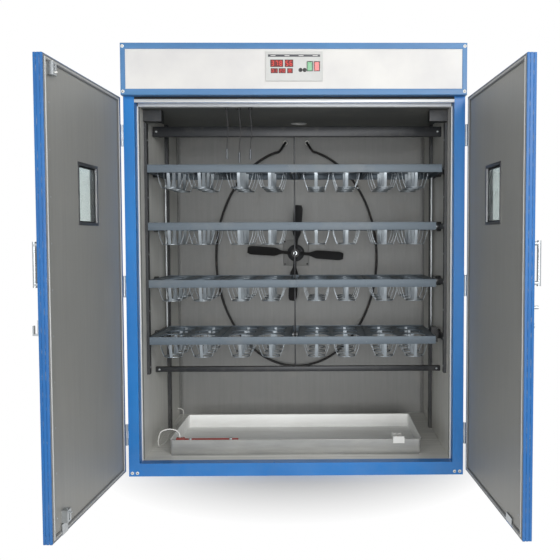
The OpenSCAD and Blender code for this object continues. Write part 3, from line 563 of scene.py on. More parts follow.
@dataclass(frozen=True)
class SheetMetal:
    """Rolled or brushed sheet metal with streaks, smudges and dust."""

    name: str
    colour: tuple[float, float, float]
    streaks: tuple[float, float, float] = (3.0, 3.0, 220.0)
    roughness: float = 0.38
    metallic: float = 0.8
    contrast: float = 0.16
    stains: float = 0.25
    stain: tuple[float, float, float] = (196, 190, 178)

    def material(self) -> bpy.types.Material:
        """Builds the material."""
        f = Finish(self.name)
        base = np.array(linear(*self.colour))
        x, y, z = self.streaks
        line = f.effect(Effect.STREAKS, Along_X=x, Along_Y=y, Along_Z=z).outputs["Streaks"]
        grain = f.effect(Effect.GRAIN, Scale=160.0, Patch=5.0)
        low, high = 1 - self.contrast, 1 + self.contrast
        colour = f.n.mix(f.n.spread(line, 0.3, 0.7, 0.0, 1.0), shade(base, low),
                         shade(base, high))
        smudge = f.n.spread(grain.outputs["Patches"], 0.52, 0.74, 0.0, self.stains)
        dust = f.effect(Effect.DUST, Amount=0.16, Reach=0.3).outputs["Dust"]
        film = f.n.math("MAXIMUM", smudge, dust)
        colour = f.n.mix(film, colour, linear(*self.stain))
        edges = f.effect(Effect.WEAR, Radius=0.001, Amount=0.5)
        colour = f.n.mix(edges.outputs["Wear"], colour, linear(225, 226, 228))
        rough = f.n.math("ADD", f.n.math("MULTIPLY", line, 0.2), self.roughness - 0.1)
        rough = f.n.math("ADD", rough, f.n.math("MULTIPLY", film, 0.5), clamp=True)
        metal = f.n.math("MULTIPLY", f.n.math("SUBTRACT", 1.0, film, clamp=True), self.metallic)
        f.set(Base_Color=colour, Roughness=rough, Metallic=metal)
        f.bump(line, 0.08, 0.0003, edges)
        return f.material


@dataclass(frozen=True)
class Moulded:
    """Moulded plastic or rubber: fine texture, slow colour shift, softly rubbed edges."""

    name: str
    colour: tuple[float, float, float]
    roughness: float = 0.45
    texture: float = 0.15
    coat: float = 0.0

    def material(self) -> bpy.types.Material:
        """Builds the material."""
        f = Finish(self.name)
        base = np.array(linear(*self.colour))
        grain = f.effect(Effect.GRAIN, Scale=900.0, Patch=14.0)
        colour = f.n.mix(grain.outputs["Patches"], shade(base, 0.88), shade(base, 1.12, 0.004))
        edges = f.effect(Effect.WEAR, Radius=0.0008, Amount=0.35)
        colour = f.n.mix(edges.outputs["Wear"], colour, shade(base, 1.5, 0.05))
        dust = f.effect(Effect.DUST, Amount=0.12).outputs["Dust"]
        colour = f.n.mix(dust, colour, linear(170, 164, 152))
        rough = f.n.math("ADD", f.n.math("MULTIPLY", grain.outputs["Patches"], 0.15), self.roughness - 0.07)
        f.set(Base_Color=colour, Roughness=rough, Coat_Weight=self.coat)
        f.bump(grain.outputs["Fine"], self.texture, 0.0003, edges)
        return f.material


@dataclass(frozen=True)
class Oxide:
    """The mottled black skin of a heater tube or a dark steel part, with bare and rusty spots."""

    name: str
    colour: tuple[float, float, float] = (24, 24, 26)
    spot: tuple[float, float, float] = (92, 82, 74)
    roughness: float = 0.5
    spots: float = 0.6

    def material(self) -> bpy.types.Material:
        """Builds the material."""
        f = Finish(self.name)
        grain = f.effect(Effect.GRAIN, Scale=260.0, Patch=30.0)
        spots = f.n.spread(grain.outputs["Patches"], 0.52, 0.72, 0.0, self.spots)
        colour = f.n.mix(spots, linear(*self.colour), linear(*self.spot))
        edges = f.effect(Effect.WEAR, Radius=0.0012, Amount=0.7)
        colour = f.n.mix(edges.outputs["Wear"], colour, linear(130, 130, 132))
        dust = f.effect(Effect.DUST, Amount=0.2, Reach=0.3).outputs["Dust"]
        colour = f.n.mix(dust, colour, linear(150, 145, 134))
        rough = f.n.math("ADD", f.n.math("MULTIPLY", spots, 0.3), self.roughness - 0.05, clamp=True)
        f.set(Base_Color=colour, Roughness=rough, Metallic=0.35)
        f.bump(grain.outputs["Fine"], 0.25, 0.0005, edges)
        return f.material


@dataclass(frozen=True)
class Glow:
    """A lit display segment or a dim display window."""

    name: str
    colour: tuple[float, float, float]
    strength: float

    def material(self) -> bpy.types.Material:
        """Builds the material."""
        f = Finish(self.name)
        grain = f.effect(Effect.GRAIN, Scale=700.0, Patch=40.0)
        base = linear(*self.colour)
        colour = f.n.mix(grain.outputs["Patches"], shade(base, 0.75), base)
        f.set(Base_Color=colour, Emission_Color=colour, Emission_Strength=self.strength, Roughness=0.3)
        return f.material


@dataclass(frozen=True)
class Pane:
    """Clear window glass with a faint green cast and smears."""

    name: str

    def material(self) -> bpy.types.Material:
        """Builds the material."""
        f = Finish(self.name)
        grain = f.effect(Effect.GRAIN, Scale=60.0, Patch=9.0)
        rough = f.n.spread(grain.outputs["Patches"], 0.45, 0.75, 0.02, 0.14)
        f.set(Base_Color=(0.86, 0.92, 0.91, 1.0), Roughness=rough, Transmission_Weight=1.0, IOR=1.45)
        return f.material


class Palette:
    """Every finish of the object, built once."""

    def __init__(self) -> None:
        """Builds the materials."""
        self.pillar_blue = Paint("pillar_blue", (16, 116, 190), 0.36, dust=0.1).material()
        self.leaf_blue = Paint("leaf_blue", (10, 94, 160), 0.4, dust=0.08).material()
        self.header_blue = Paint("header_blue", (70, 120, 168), 0.4).material()
        self.skin_white = Paint("skin_white", (212, 211, 209), 0.4, wear=0.4, dust=0.1,
                                bare=(180, 180, 178)).material()
        self.wall_metal = SheetMetal("wall_metal", (214, 214, 209), (60.0, 60.0, 3.0), 0.48, 0.25,
                                     contrast=0.08, stains=0.2).material()
        self.liner_metal = SheetMetal("liner_metal", (158, 158, 154), (60.0, 60.0, 3.0), 0.5, 0.25,
                                      contrast=0.06, stains=0.06).material()
        self.tray_metal = SheetMetal("tray_metal", (88, 99, 108), (3.0, 160.0, 60.0), 0.5, 0.3,
                                     contrast=0.12, stains=0.12).material()
        self.bright_metal = SheetMetal("bright_metal", (176, 181, 184), (40.0, 40.0, 4.0), 0.32, 0.8,
                                       stains=0.1).material()
        self.strap_metal = SheetMetal("strap_metal", (150, 158, 164), (50.0, 50.0, 5.0), 0.36, 0.75,
                                      contrast=0.2, stains=0.1).material()
        self.pan_metal = SheetMetal("pan_metal", (158, 159, 157), (4.0, 120.0, 30.0), 0.36, 0.5,
                                    stains=0.3).material()
        self.pan_inside = SheetMetal("pan_inside", (236, 237, 235), (4.0, 60.0, 30.0), 0.5, 0.15,
                                     contrast=0.06, stains=0.15).material()
        self.trim_metal = SheetMetal("trim_metal", (200, 202, 203), (2.0, 120.0, 120.0), 0.4, 0.3,
                                     stains=0.15).material()
        self.probe_metal = SheetMetal("probe_metal", (92, 96, 100), (40.0, 40.0, 4.0), 0.42, 0.5,
                                      stains=0.1).material()
        self.dark_steel = Oxide("dark_steel", (44, 46, 49), (84, 82, 80), 0.45, 0.35).material()
        self.heater_skin = Oxide("heater_skin").material()
        self.black_plastic = Moulded("black_plastic", (28, 28, 30), 0.4).material()
        self.cord_black = Moulded("cord_black", (34, 34, 36), 0.5).material()
        self.grey_plastic = Moulded("grey_plastic", (196, 197, 195), 0.5).material()
        self.white_plastic = Moulded("white_plastic", (228, 228, 224), 0.35).material()
        self.gasket_white = Moulded("gasket_white", (186, 188, 187), 0.6, 0.3).material()
        self.gasket_grey = Moulded("gasket_grey", (120, 122, 124), 0.65, 0.3).material()
        self.green_plastic = Moulded("green_plastic", (26, 140, 74), 0.3, coat=0.3).material()
        self.red_plastic = Moulded("red_plastic", (196, 36, 34), 0.3, coat=0.3).material()
        self.circuit_green = Moulded("circuit_green", (24, 92, 52), 0.35).material()
        self.copper_red = Moulded("copper_red", (150, 44, 36), 0.4).material()
        # painted shadow: the dark bar under the top edge of the control unit
        self.label_dark = Moulded("label_dark", (70, 72, 76), 0.35).material()
        self.label_mark = Moulded("label_mark", (216, 216, 214), 0.4).material()
        self.window_red = Glow("window_red", (112, 34, 36), 0.05).material()
        self.digit_red = Glow("digit_red", (232, 70, 58), 0.55).material()
        self.glass = Pane("window_glass").material()
        self.shadow_gap = Moulded("shadow_gap", (22, 24, 28), 0.7).material()
        self.fan_black = Moulded("fan_black", (26, 26, 28), 0.5).material()
        self.window_trim = SheetMetal("window_trim", (96, 98, 100), (90.0, 90.0, 90.0), 0.4, 0.7).material()
        self.back_metal = SheetMetal("back_metal", (132, 133, 132), (70.0, 4.0, 3.0), 0.5, 0.3,
                                     contrast=0.07, stains=0.15).material()
        self.floor_metal = SheetMetal("floor_metal", (222, 222, 218), (4.0, 90.0, 4.0), 0.45, 0.3,
                                      stains=0.3).material()
        # painted shade: the ceiling sheet gets a darker grey than the walls' sheet, for the shade that falls
        # on it
        self.ceiling_metal = SheetMetal("ceiling_metal", (104, 106, 104), (4.0, 90.0, 4.0), 0.5,
                                        0.3).material()


# ---------------------------------------------------------------- shared measures
@dataclass(frozen=True)
class Cabinet:
    """The cabinet's main planes, measured on the CAD frame in millimetres."""

    half: float
    inner: float
    post: float
    pillar: float
    back: float
    depth: float
    sill: float
    ceiling: float
    top: float
    rail: float

    @classmethod
    def measured(cls) -> "Cabinet":
        """Reads the planes from the boxes of the CAD nodes."""
        whole, floor, roof = span("cabinet_frame"), span("floor_panel"), span("roof_panel")
        return cls(half=whole[1][0], inner=-span("left_wall")[1][0], post=floor[1][0],
                   pillar=floor[0][1], back=floor[1][1], depth=whole[1][1], sill=floor[1][2],
                   ceiling=roof[0][2], top=whole[1][2], rail=span("ceiling_trim")[1][2])


CAB = Cabinet.measured()
HINGE_HEIGHTS = (180.0, 808.0, 1436.0)


class Side(Enum):
    """Left or right, as the sign of X."""

    LEFT = -1
    RIGHT = 1


# ---------------------------------------------------------------- cabinet
@dataclass
class CabinetShell:
    """The body without the doors: corner frame, insulated walls, roof and floor."""

    palette: Palette
    rivet: float = 2.6
    rivet_pitch: float = 110.0
    seam_width: float = 7.0
    seam_step: float = 0.7
    trim_drop: float = 6.0
    screw_circle: float = 52.0

    def dress_nodes(self) -> None:
        """Gives the CAD walls and frame their finishes."""
        p = self.palette
        dress("cabinet_frame", p.pillar_blue)
        for node in ("left_wall", "right_wall"):
            dress(node, p.wall_metal)
        dress("back_wall", p.back_metal)
        dress("floor_panel", p.floor_metal)
        # the roof panel takes the darker grey of painted shade
        dress("roof_panel", p.ceiling_metal)
        dress("ceiling_trim", p.trim_metal)

    def wall_seams(self) -> None:
        """Cover strips and rivets of the inner sheets: flat bars with rounded edges on the walls."""
        made = Surface()
        x, w, t = CAB.inner, self.seam_width, self.seam_step
        base, top = CAB.sill + 2, CAB.ceiling - 2
        z = np.arange(CAB.sill + 60, CAB.ceiling - 40, self.rivet_pitch)
        for s in (-1, 1):
            for y in (CAB.pillar + 14, CAB.back - 14):
                made.add(rounded_box([s * x, y - w, base], [s * (x - t), y + w, top], 0.3))
                made.add(heads(grid_of([s * (x - t)], [y], z), (-s, 0, 0), self.rivet, 1.2), 1)
        for bar_x in (-x + 10, x - 10):
            made.add(rounded_box([bar_x - w, CAB.back, base], [bar_x + w, CAB.back - t, top], 0.3))
            made.add(heads(grid_of([bar_x], [CAB.back - t], z), (0, -1, 0), self.rivet, 1.2), 1)
        piece(made, "wall_seam_strips", "cabinet", [self.palette.back_metal, self.palette.back_metal])

    def outer_skins(self) -> None:
        """Thin outer sheets on the sides between the blue corners, with rivets, and rivets on the back."""
        made = Surface()
        edge, inset, t = 3.0, 8.0, 0.8
        for s in (-1, 1):
            low = [s * (CAB.half - 0.2), CAB.pillar + inset, CAB.sill + inset]
            high = [s * (CAB.half + t), CAB.back - inset, CAB.ceiling - inset]
            made.add(rounded_box(low, high, 0.5))
            z = np.arange(low[2] + 20, high[2] - 10, 2 * self.rivet_pitch)
            made.add(heads(grid_of([high[0]], [low[1] + 12, high[1] - 12], z), (s, 0, 0), edge, 1.2), 1)
        piece(made, "outer_side_sheets", "cabinet", [self.palette.skin_white, self.palette.bright_metal])
        screws = Surface()
        z = np.arange(60, CAB.top - 30, 2 * self.rivet_pitch)
        x = [-CAB.post + 16, CAB.post - 16]
        screws.add(heads(grid_of(x, [CAB.depth - 1.3], z), (0, 1, 0), edge, 1.3))
        piece(screws, "back_rivets", "cabinet", [self.palette.bright_metal])

    def painted_header_shadow_and_trim(self) -> None:
        """The header's shadow painted as a dark strip across the top rail, and the light trim over the rail's
        lower edge.
        """
        made = Surface()
        x, z = CAB.post, CAB.rail
        # painted shadow: a dark strip where the header's shadow falls on the top rail
        made.add(rounded_box([-x, -0.35, z + 8], [x, 0.3, z + 18], 0.3))
        made.add(rounded_box([-x, -0.35, z - self.trim_drop], [x, 0.3, z + 8], 0.3), 1)
        piece(made, "top_rail_seal", "cabinet", [self.palette.shadow_gap, self.palette.trim_metal])

    def vent(self) -> None:
        """Finishes of the roof vent and its damper, and the collar's screws."""
        p = self.palette
        dress("vent_collar", p.grey_plastic)
        dress("vent_damper", p.bright_metal)
        low, high = span("vent_collar")
        middle = (low + high) / 2
        a = np.radians(np.arange(45, 405, 90))
        r = self.screw_circle
        places = np.stack([middle[0] + r * np.cos(a), middle[1] + r * np.sin(a), 0 * a + CAB.top + 2], -1)
        made = Surface()
        made.add(heads(places, (0, 0, 1), 3, 1.4))
        piece(made, "vent_screws", "cabinet", [p.bright_metal])

    def build(self) -> None:
        """Builds the whole shell."""
        self.dress_nodes()
        self.wall_seams()
        self.outer_skins()
        self.painted_header_shadow_and_trim()
        self.vent()


# ---------------------------------------------------------------- header
SEGMENTS = {"0": "abcdef", "1": "bc", "2": "abged", "3": "abgcd", "4": "fgbc", "5": "afgcd",
            "6": "afgecd", "7": "abc", "8": "abcdefg", "9": "abfgcd"}


@dataclass(frozen=True)
class Display:
    """One display window: its middle from the unit's middle, its size and the digits that it shows."""

    x: float
    z: float
    width: float
    height: float
    digits: str


@dataclass
class HeaderBox:
    """The control box above the doors: fascia, control unit, housing and power gland."""

    palette: Palette
    displays: tuple[Display, ...] = (
        Display(-71, 12, 50, 27, "378"), Display(-21, 12, 32, 27, "56"), Display(-81, -18, 26, 17, "01"),
        Display(-49, -18, 26, 17, "20"), Display(-17, -18, 20, 17, "8"))
    rockers: tuple[float, float] = (64.0, 93.0)
    screw: float = 7.0
    # the dark bar of painted shadow under the unit's top edge: height above the middle, half width, half
    # height
    recess_shadow_bar: tuple[float, float, float] = (43.0, 106.5, 4.6)
    buttons: tuple[float, float] = (26.0, 43.0)
    button_drop: float = 15.0
    louvres: tuple[int, int, int] = (-500, -219, 40)

    def fascia(self) -> None:
        """The blue border: a mitred ring with rounded arrises, and the panel in it."""
        low, high = span("header_frame")
        w, h = span("header_panel")[0][0] - low[0], span("header_panel")[0][2] - low[2]
        made = Surface()
        front, back = low[1], high[1]
        section = fillet([(0, front), (w, front), (w, back), (0, back)], 2.2)
        rings = []
        for x, z, sx, sz in corners_of((low[0], high[0]), (low[2], high[2])):
            rings.append(np.stack([x + sx * section[:, 0], section[:, 1],
                                   z + sz * section[:, 0] * h / w], -1))
        made.add(loft(np.array(rings), loop=True))
        piece(made, "fascia_border", "cabinet", [self.palette.header_blue], ("header_frame",))
        dress("header_panel", self.palette.skin_white)
        dress("header_housing", self.palette.header_blue)
        dress("control_board", self.palette.circuit_green)
        dress("power_inlet", self.palette.black_plastic)

    def fascia_screws(self) -> None:
        """Pan-head screws: a flat skirt, a domed top and a cross recess drawn as painted shade by two dark
        bars.
        """
        fascia = span("header_frame")
        front, x = fascia[0][1], CAB.half
        places = [(sx * (x - 10), front, z) for sx in (-1, 1) for z in (fascia[0][2] + 14, fascia[1][2] - 14)]
        places += [(sx * (x - d), 0, 14) for sx in (-1, 1) for d in (14, 36)]
        made = Surface()
        for px, py, pz in places:
            profile = [(self.screw, 0), (self.screw, 0.5), (self.screw * 0.8, 1.5), (self.screw * 0.4, 2.1)]
            made.add(lathe([(r, -h) for r, h in profile], (px, py, pz), Axis.Y, 24))
            # painted shade: two dark bars on the dome where the cross recess would lie in shade
            for a, b in ((3.2, 0.7), (0.7, 3.2)):
                made.add(rounded_box([px - a, py - 2.2, pz - b], [px + a, py - 1.6, pz + b], 0.15), 1)
        piece(made, "fascia_screws", "cabinet", [self.palette.white_plastic, self.palette.shadow_gap],
              ("frame_screws",))

    def digit(self, mark: str, x: float, z: float, w: float, h: float, y: float) -> list[Shape]:
        """A seven-segment digit: each segment is a flat six-sided bar between two of its corners."""
        a, b = (x - w / 2, x + w / 2), (z - h / 2, z, z + h / 2)
        ends = {"a": (a[0], b[2], a[1], b[2]), "g": (a[0], b[1], a[1], b[1]), "d": (a[0], b[0], a[1], b[0]),
                "f": (a[0], b[1], a[0], b[2]), "b": (a[1], b[1], a[1], b[2]),
                "e": (a[0], b[0], a[0], b[1]), "c": (a[1], b[0], a[1], b[1])}
        bars = []
        for name in SEGMENTS[mark]:
            x0, z0, x1, z1 = ends[name]
            p, q = np.array([x0, z0]), np.array([x1, z1])
            along = (q - p) / np.linalg.norm(q - p)
            side = np.array([-along[1], along[0]]) * h * 0.055
            p, q = p + along * h * 0.03, q - along * h * 0.03
            tip = along * h * 0.055
            outline = [p, p + tip + side, q - tip + side, q, q - tip - side, p + tip - side]
            bars.append(prism(outline, Axis.Y, y, y + 0.3))
        return bars

    def control_unit(self) -> None:
        """The unit's face: raised rim, display bezels, lit digits, a dark bar of painted shadow under its top
        edge with pale marks, and switch collars.
        """
        low, high = span("control_bezel")
        middle = np.array([(low[0] + high[0]) / 2, low[1], (low[2] + high[2]) / 2])
        face = middle[1]
        windows = span("led_windows")[0][1]
        dress("control_bezel", self.palette.grey_plastic)
        dress("led_windows", self.palette.window_red)
        rims, digits = Surface(), Surface()
        section = fillet([(0.6, face - 0.9), (4.2, face - 0.9), (4.2, face + 0.3), (0.6, face + 0.3)], 0.6)
        rims.add(frame_ring((low[0], high[0]), (low[2], high[2]), section), 0)
        for d in self.displays:
            x, z = middle[0] + d.x, middle[2] + d.z
            section = fillet([(0, face - 0.8), (1.4, face - 0.8), (1.4, face + 0.4), (0, face + 0.4)], 0.4)
            rims.add(frame_ring((x - d.width / 2 - 1.4, x + d.width / 2 + 1.4),
                                (z - d.height / 2 - 1.4, z + d.height / 2 + 1.4), section), 1)
            pitch = d.width / len(d.digits)
            for k, mark in enumerate(d.digits):
                for bar in self.digit(mark, x + (k - (len(d.digits) - 1) / 2) * pitch, z, pitch * 0.5,
                                      d.height * 0.66, windows - 0.25):
                    digits.add(bar)
        # painted shadow: a dark bar across the top of the unit where the recess's top edge casts its shadow,
        # with four pale marks on it
        up, wide, tall = self.recess_shadow_bar
        x, z = middle[0], middle[2] + up
        rims.add(rounded_box([x - wide, face + 0.1, z - tall], [x + wide, face + 1.2, z + tall], 0.3), 2)
        for k in np.linspace(-96, 76, 4):
            rims.add(rounded_box([x + k, face - 0.1, z - 1.4], [x + k + 20, face + 0.4, z + 1.4], 0.1), 3)
        for rocker in self.rockers:
            cx, cz = middle[0] + rocker, middle[2]
            section = fillet([(0, face - 1.4), (2.2, face - 1.4), (2.2, face + 0.2), (0, face + 0.2)], 0.6)
            rims.add(frame_ring((cx - 12.4, cx + 12.4), (cz - 20.2, cz + 20.2), section), 1)
        for bx in self.buttons:
            profile = [(5.3, 0.2), (8.2, 0.2), (8.2, -0.5), (7.6, -0.9), (5.9, -0.9), (5.3, -0.5)]
            rims.add(torus(profile, (middle[0] + bx, face, middle[2] - self.button_drop), Axis.Y, 32), 1)
        piece(rims, "control_rims", "cabinet",
              [self.palette.grey_plastic, self.palette.black_plastic, self.palette.label_dark,
               self.palette.label_mark])
        piece(digits, "display_digits", "cabinet", [self.palette.digit_red])

    def switches(self) -> None:
        """Domed push buttons, and the finishes of the two rockers."""
        p = self.palette
        for node in ("set_button", "reset_button"):
            low, high = span(node)
            c = (low + high) / 2
            made = Surface()
            r = (high[0] - low[0]) / 2
            cap = r - 1.5
            profile = [(0.6, 0.3), (cap * 0.6, 0), (cap * 0.9, 0.35), (cap, 1.0), (cap, 8.5),
                       (r, 8.6), (r, 10.4)]
            made.add(lathe(profile, (c[0], low[1], c[2]), Axis.Y, 32))
            piece(made, f"{node}_cap", node, [p.black_plastic], (node,))
        dress("power_rocker", p.green_plastic)
        dress("alarm_rocker", p.red_plastic)

    def housing_details(self) -> None:
        """Louvre hoods over the housing's slots and the seam screws at its back."""
        high = span("header_housing")[1]
        made = Surface()
        t = np.linspace(0, 1, 7)
        for x in range(*self.louvres):
            hood = np.stack([x + 6 + 10 * np.cos(np.pi * t), high[1] + 4 * np.sin(np.pi * t) - 0.2], -1)
            shell = np.concatenate([hood, (hood - [x + 6, high[1]])[::-1] * 0.8 + [x + 6, high[1]]])
            made.add(prism(shell, Axis.Z, CAB.top + 66, high[2] - 56))
        z = [CAB.top + 20, high[2] - 14]
        x = np.linspace(-CAB.half + 30, CAB.half - 30, 8)
        made.add(heads(grid_of(x, [high[1]], z), (0, 1, 0), 3.2, 1.3), 1)
        piece(made, "housing_louvres", "cabinet", [self.palette.header_blue, self.palette.bright_metal])

    def build(self) -> None:
        """Builds the whole header."""
        self.fascia()
        self.fascia_screws()
        self.control_unit()
        self.switches()
        self.housing_details()


# ---------------------------------------------------------------- doors
@dataclass
class DoorLeaf:
    """One leaf, built closed and then turned about its hinge pin to the stored opening."""

    palette: Palette
    side: Side
    meet: float = 3.0
    front: float = -37.0
    rear: float = -5.0
    edge: float = 14.0
    window_x: float = 356.5
    window_z: float = 1169.0
    window: tuple[float, float] = (162.0, 202.0)
    gasket_gap: dict[Side, tuple[float, float]] = field(
        default_factory=lambda: {Side.LEFT: (-120.0, -68.0), Side.RIGHT: (98.0, 164.0)})

    def __post_init__(self) -> None:
        """Reads the leaf's height, its hinge pin and its opening angle from the frame."""
        self.name = self.side.name.lower()
        self.body = f"{self.name}_door"
        low, high = span(f"{self.name}_door_frame")
        self.z = (low[2], high[2])
        hinge = f"{self.name}_door_hinge"
        joint = next(j for j in frame["record"]["behaviour"]["joints"] if j["name"] == hinge)
        self.pin = (np.array(joint["pos_m"]) - ORIGIN) / MM
        self.pin[2] = 0
        self.turn = about_z(-self.side.value * min(joint["range_deg"]))[0]
        self.x = tuple(sorted((self.side.value * self.meet, self.side.value * CAB.half)))

    def place(self, made: Surface, name: str, finishes: list[bpy.types.Material], slot: str,
              stands_for: tuple[str, ...] = ()) -> None:
        """Turns a closed-position surface to the stored opening and makes it a piece of the leaf."""
        made.move(self.turn, self.pin)
        piece(made, f"{self.name}_{name}", self.body, finishes, stands_for)

    def edge_profile(self) -> None:
        """The blue edge profile: a mitred section with rounded arrises and two fine grooves."""
        f, r, e = self.front, self.rear, self.edge
        grooves = [(0, r - 9), (1.2, r - 9.4), (1.2, r - 11), (0, r - 11.4),
                   (0, f + 11.4), (1.2, f + 11), (1.2, f + 9.4), (0, f + 9)]
        outline = [(0, r - 2)] + grooves + [(0, f + 2), (0.6, f + 0.6), (2, f), (e, f), (e, r),
                                            (2, r), (0.6, r - 0.6)]
        made = Surface()
        made.add(frame_ring(self.x, self.z, outline))
        self.place(made, "leaf_edge", [self.palette.leaf_blue], "blue_paint", (f"{self.name}_door_frame",))

    def sheets(self) -> None:
        """Finishes of the skins, and the rivets of the inner sheet."""
        p = self.palette
        dress(f"{self.name}_door_panel", p.skin_white)
        dress(f"{self.name}_door_liner", p.liner_metal)
        dress(f"{self.name}_window_glass", p.glass)
        s, made = self.side.value, Surface()
        z = np.arange(self.z[0] + 70, self.z[1] - 40, 150)
        x = [s * (self.meet + self.edge + 30), s * (CAB.half - self.edge - 16)]
        made.add(heads(grid_of(x, [self.rear - 2], z), (0, 1, 0), 3, 1.1))
        self.place(made, "liner_rivets", [p.bright_metal], "bright_steel")

    def window_frame(self) -> None:
        """The window's spool-shaped frame: two flanges and the tunnel between them."""
        w, h = self.window
        f, r = self.front, self.rear
        cx = self.side.value * self.window_x
        x = (cx - w / 2 - 11, cx + w / 2 + 11)
        z = (self.window_z - h / 2 - 11, self.window_z + h / 2 + 11)
        section = fillet([(0, f - 1), (11, f - 1), (11, r), (0, r),
                          (0, r - 2), (7, r - 2), (7, f + 1), (0, f + 1)], 0.9, 2)
        made = Surface()
        made.add(frame_ring(x, z, section))
        for y, back in ((f + 9, f + 12), (r - 10, r - 7)):
            bead = fillet([(11, y), (16, y), (16, back), (11, back)], 1)
            made.add(frame_ring(x, z, bead), 1)
        self.place(made, "window_trim", [self.palette.window_trim, self.palette.shadow_gap], "dark_steel",
                   (f"{self.name}_window_frame",))

    def gasket(self) -> None:
        """The seal: a grey base strip and a white hollow-looking bulb, open at the lower plate.

        The bulb's section is an arc of 200 degrees.
        """
        s, base = self.side.value, self.rear + 0.1
        inner, outer = self.meet + 3, CAB.half - self.edge - 3
        x = tuple(sorted((s * inner, s * outer)))
        z = (self.z[0] + 3, self.z[1] - 3)
        gap = self.gasket_gap[self.side]
        a = np.radians(np.linspace(-20, 200, 9))
        bulb = np.stack([10 + 3.4 * np.cos(a), base + 2.3 + 2.1 * np.sin(a)], -1)
        strip = fillet([(0, base), (18, base), (17.4, base + 1.6), (0.6, base + 1.6)], 0.5, 2)
        made = Surface()
        for section, finish in ((strip, 1), (bulb, 0)):
            stops = [(gap[1], z[0], 0, 1), (x[1], z[0], -1, 1), (x[1], z[1], -1, -1), (x[0], z[1], 1, -1),
                     (x[0], z[0], 1, 1), (gap[0], z[0], 0, 1)]
            rings = [np.stack([px + sx * section[:, 0], section[:, 1], pz + sz * section[:, 0]], -1)
                     for px, pz, sx, sz in stops]
            made.add(loft(np.array(rings)), finish)
        self.place(made, "leaf_gasket", [self.palette.gasket_white, self.palette.gasket_grey],
                   "gasket_rubber", (f"{self.name}_door_gasket",))

    def fittings(self) -> None:
        """Finishes of the hinges, pull and plates, and the screws that hold the hinges."""
        p, s, made = self.palette, self.side.value, Surface()
        dress(f"{self.name}_door_fittings", p.bright_metal)
        for z in HINGE_HEIGHTS:
            places = grid_of([s * (CAB.half + 2)], [self.front + 11], [z - 32, z + 32])
            made.add(heads(places, (s, 0, 0), 3, 1.2))
        self.place(made, "hinge_screws", [p.bright_metal], "bright_steel")

    def build(self) -> None:
        """Builds the leaf."""
        self.edge_profile()
        self.sheets()
        self.window_frame()
        self.gasket()
        self.fittings()


@dataclass
class DoorHardware:
    """Latch, bolts and the cabinet's halves of the hinges."""

    palette: Palette

    def build(self) -> None:
        """Dresses the metal parts and adds the hinge screws on the pillars."""
        p = self.palette
        dress("cabinet_hinges", p.bright_metal)
        dress("latch_bar", p.bright_metal)
        dress("top_bolt", p.white_plastic)
        dress("bottom_bolt", p.bright_metal)
        made = Surface()
        for s in (-1, 1):
            for z in HINGE_HEIGHTS:
                places = grid_of([s * (CAB.half + 2)], [17, 33], [z - 32, z, z + 32])
                made.add(heads(places, (s, 0, 0), 3, 1.2))
        piece(made, "pillar_hinge_screws", "cabinet", [p.bright_metal])


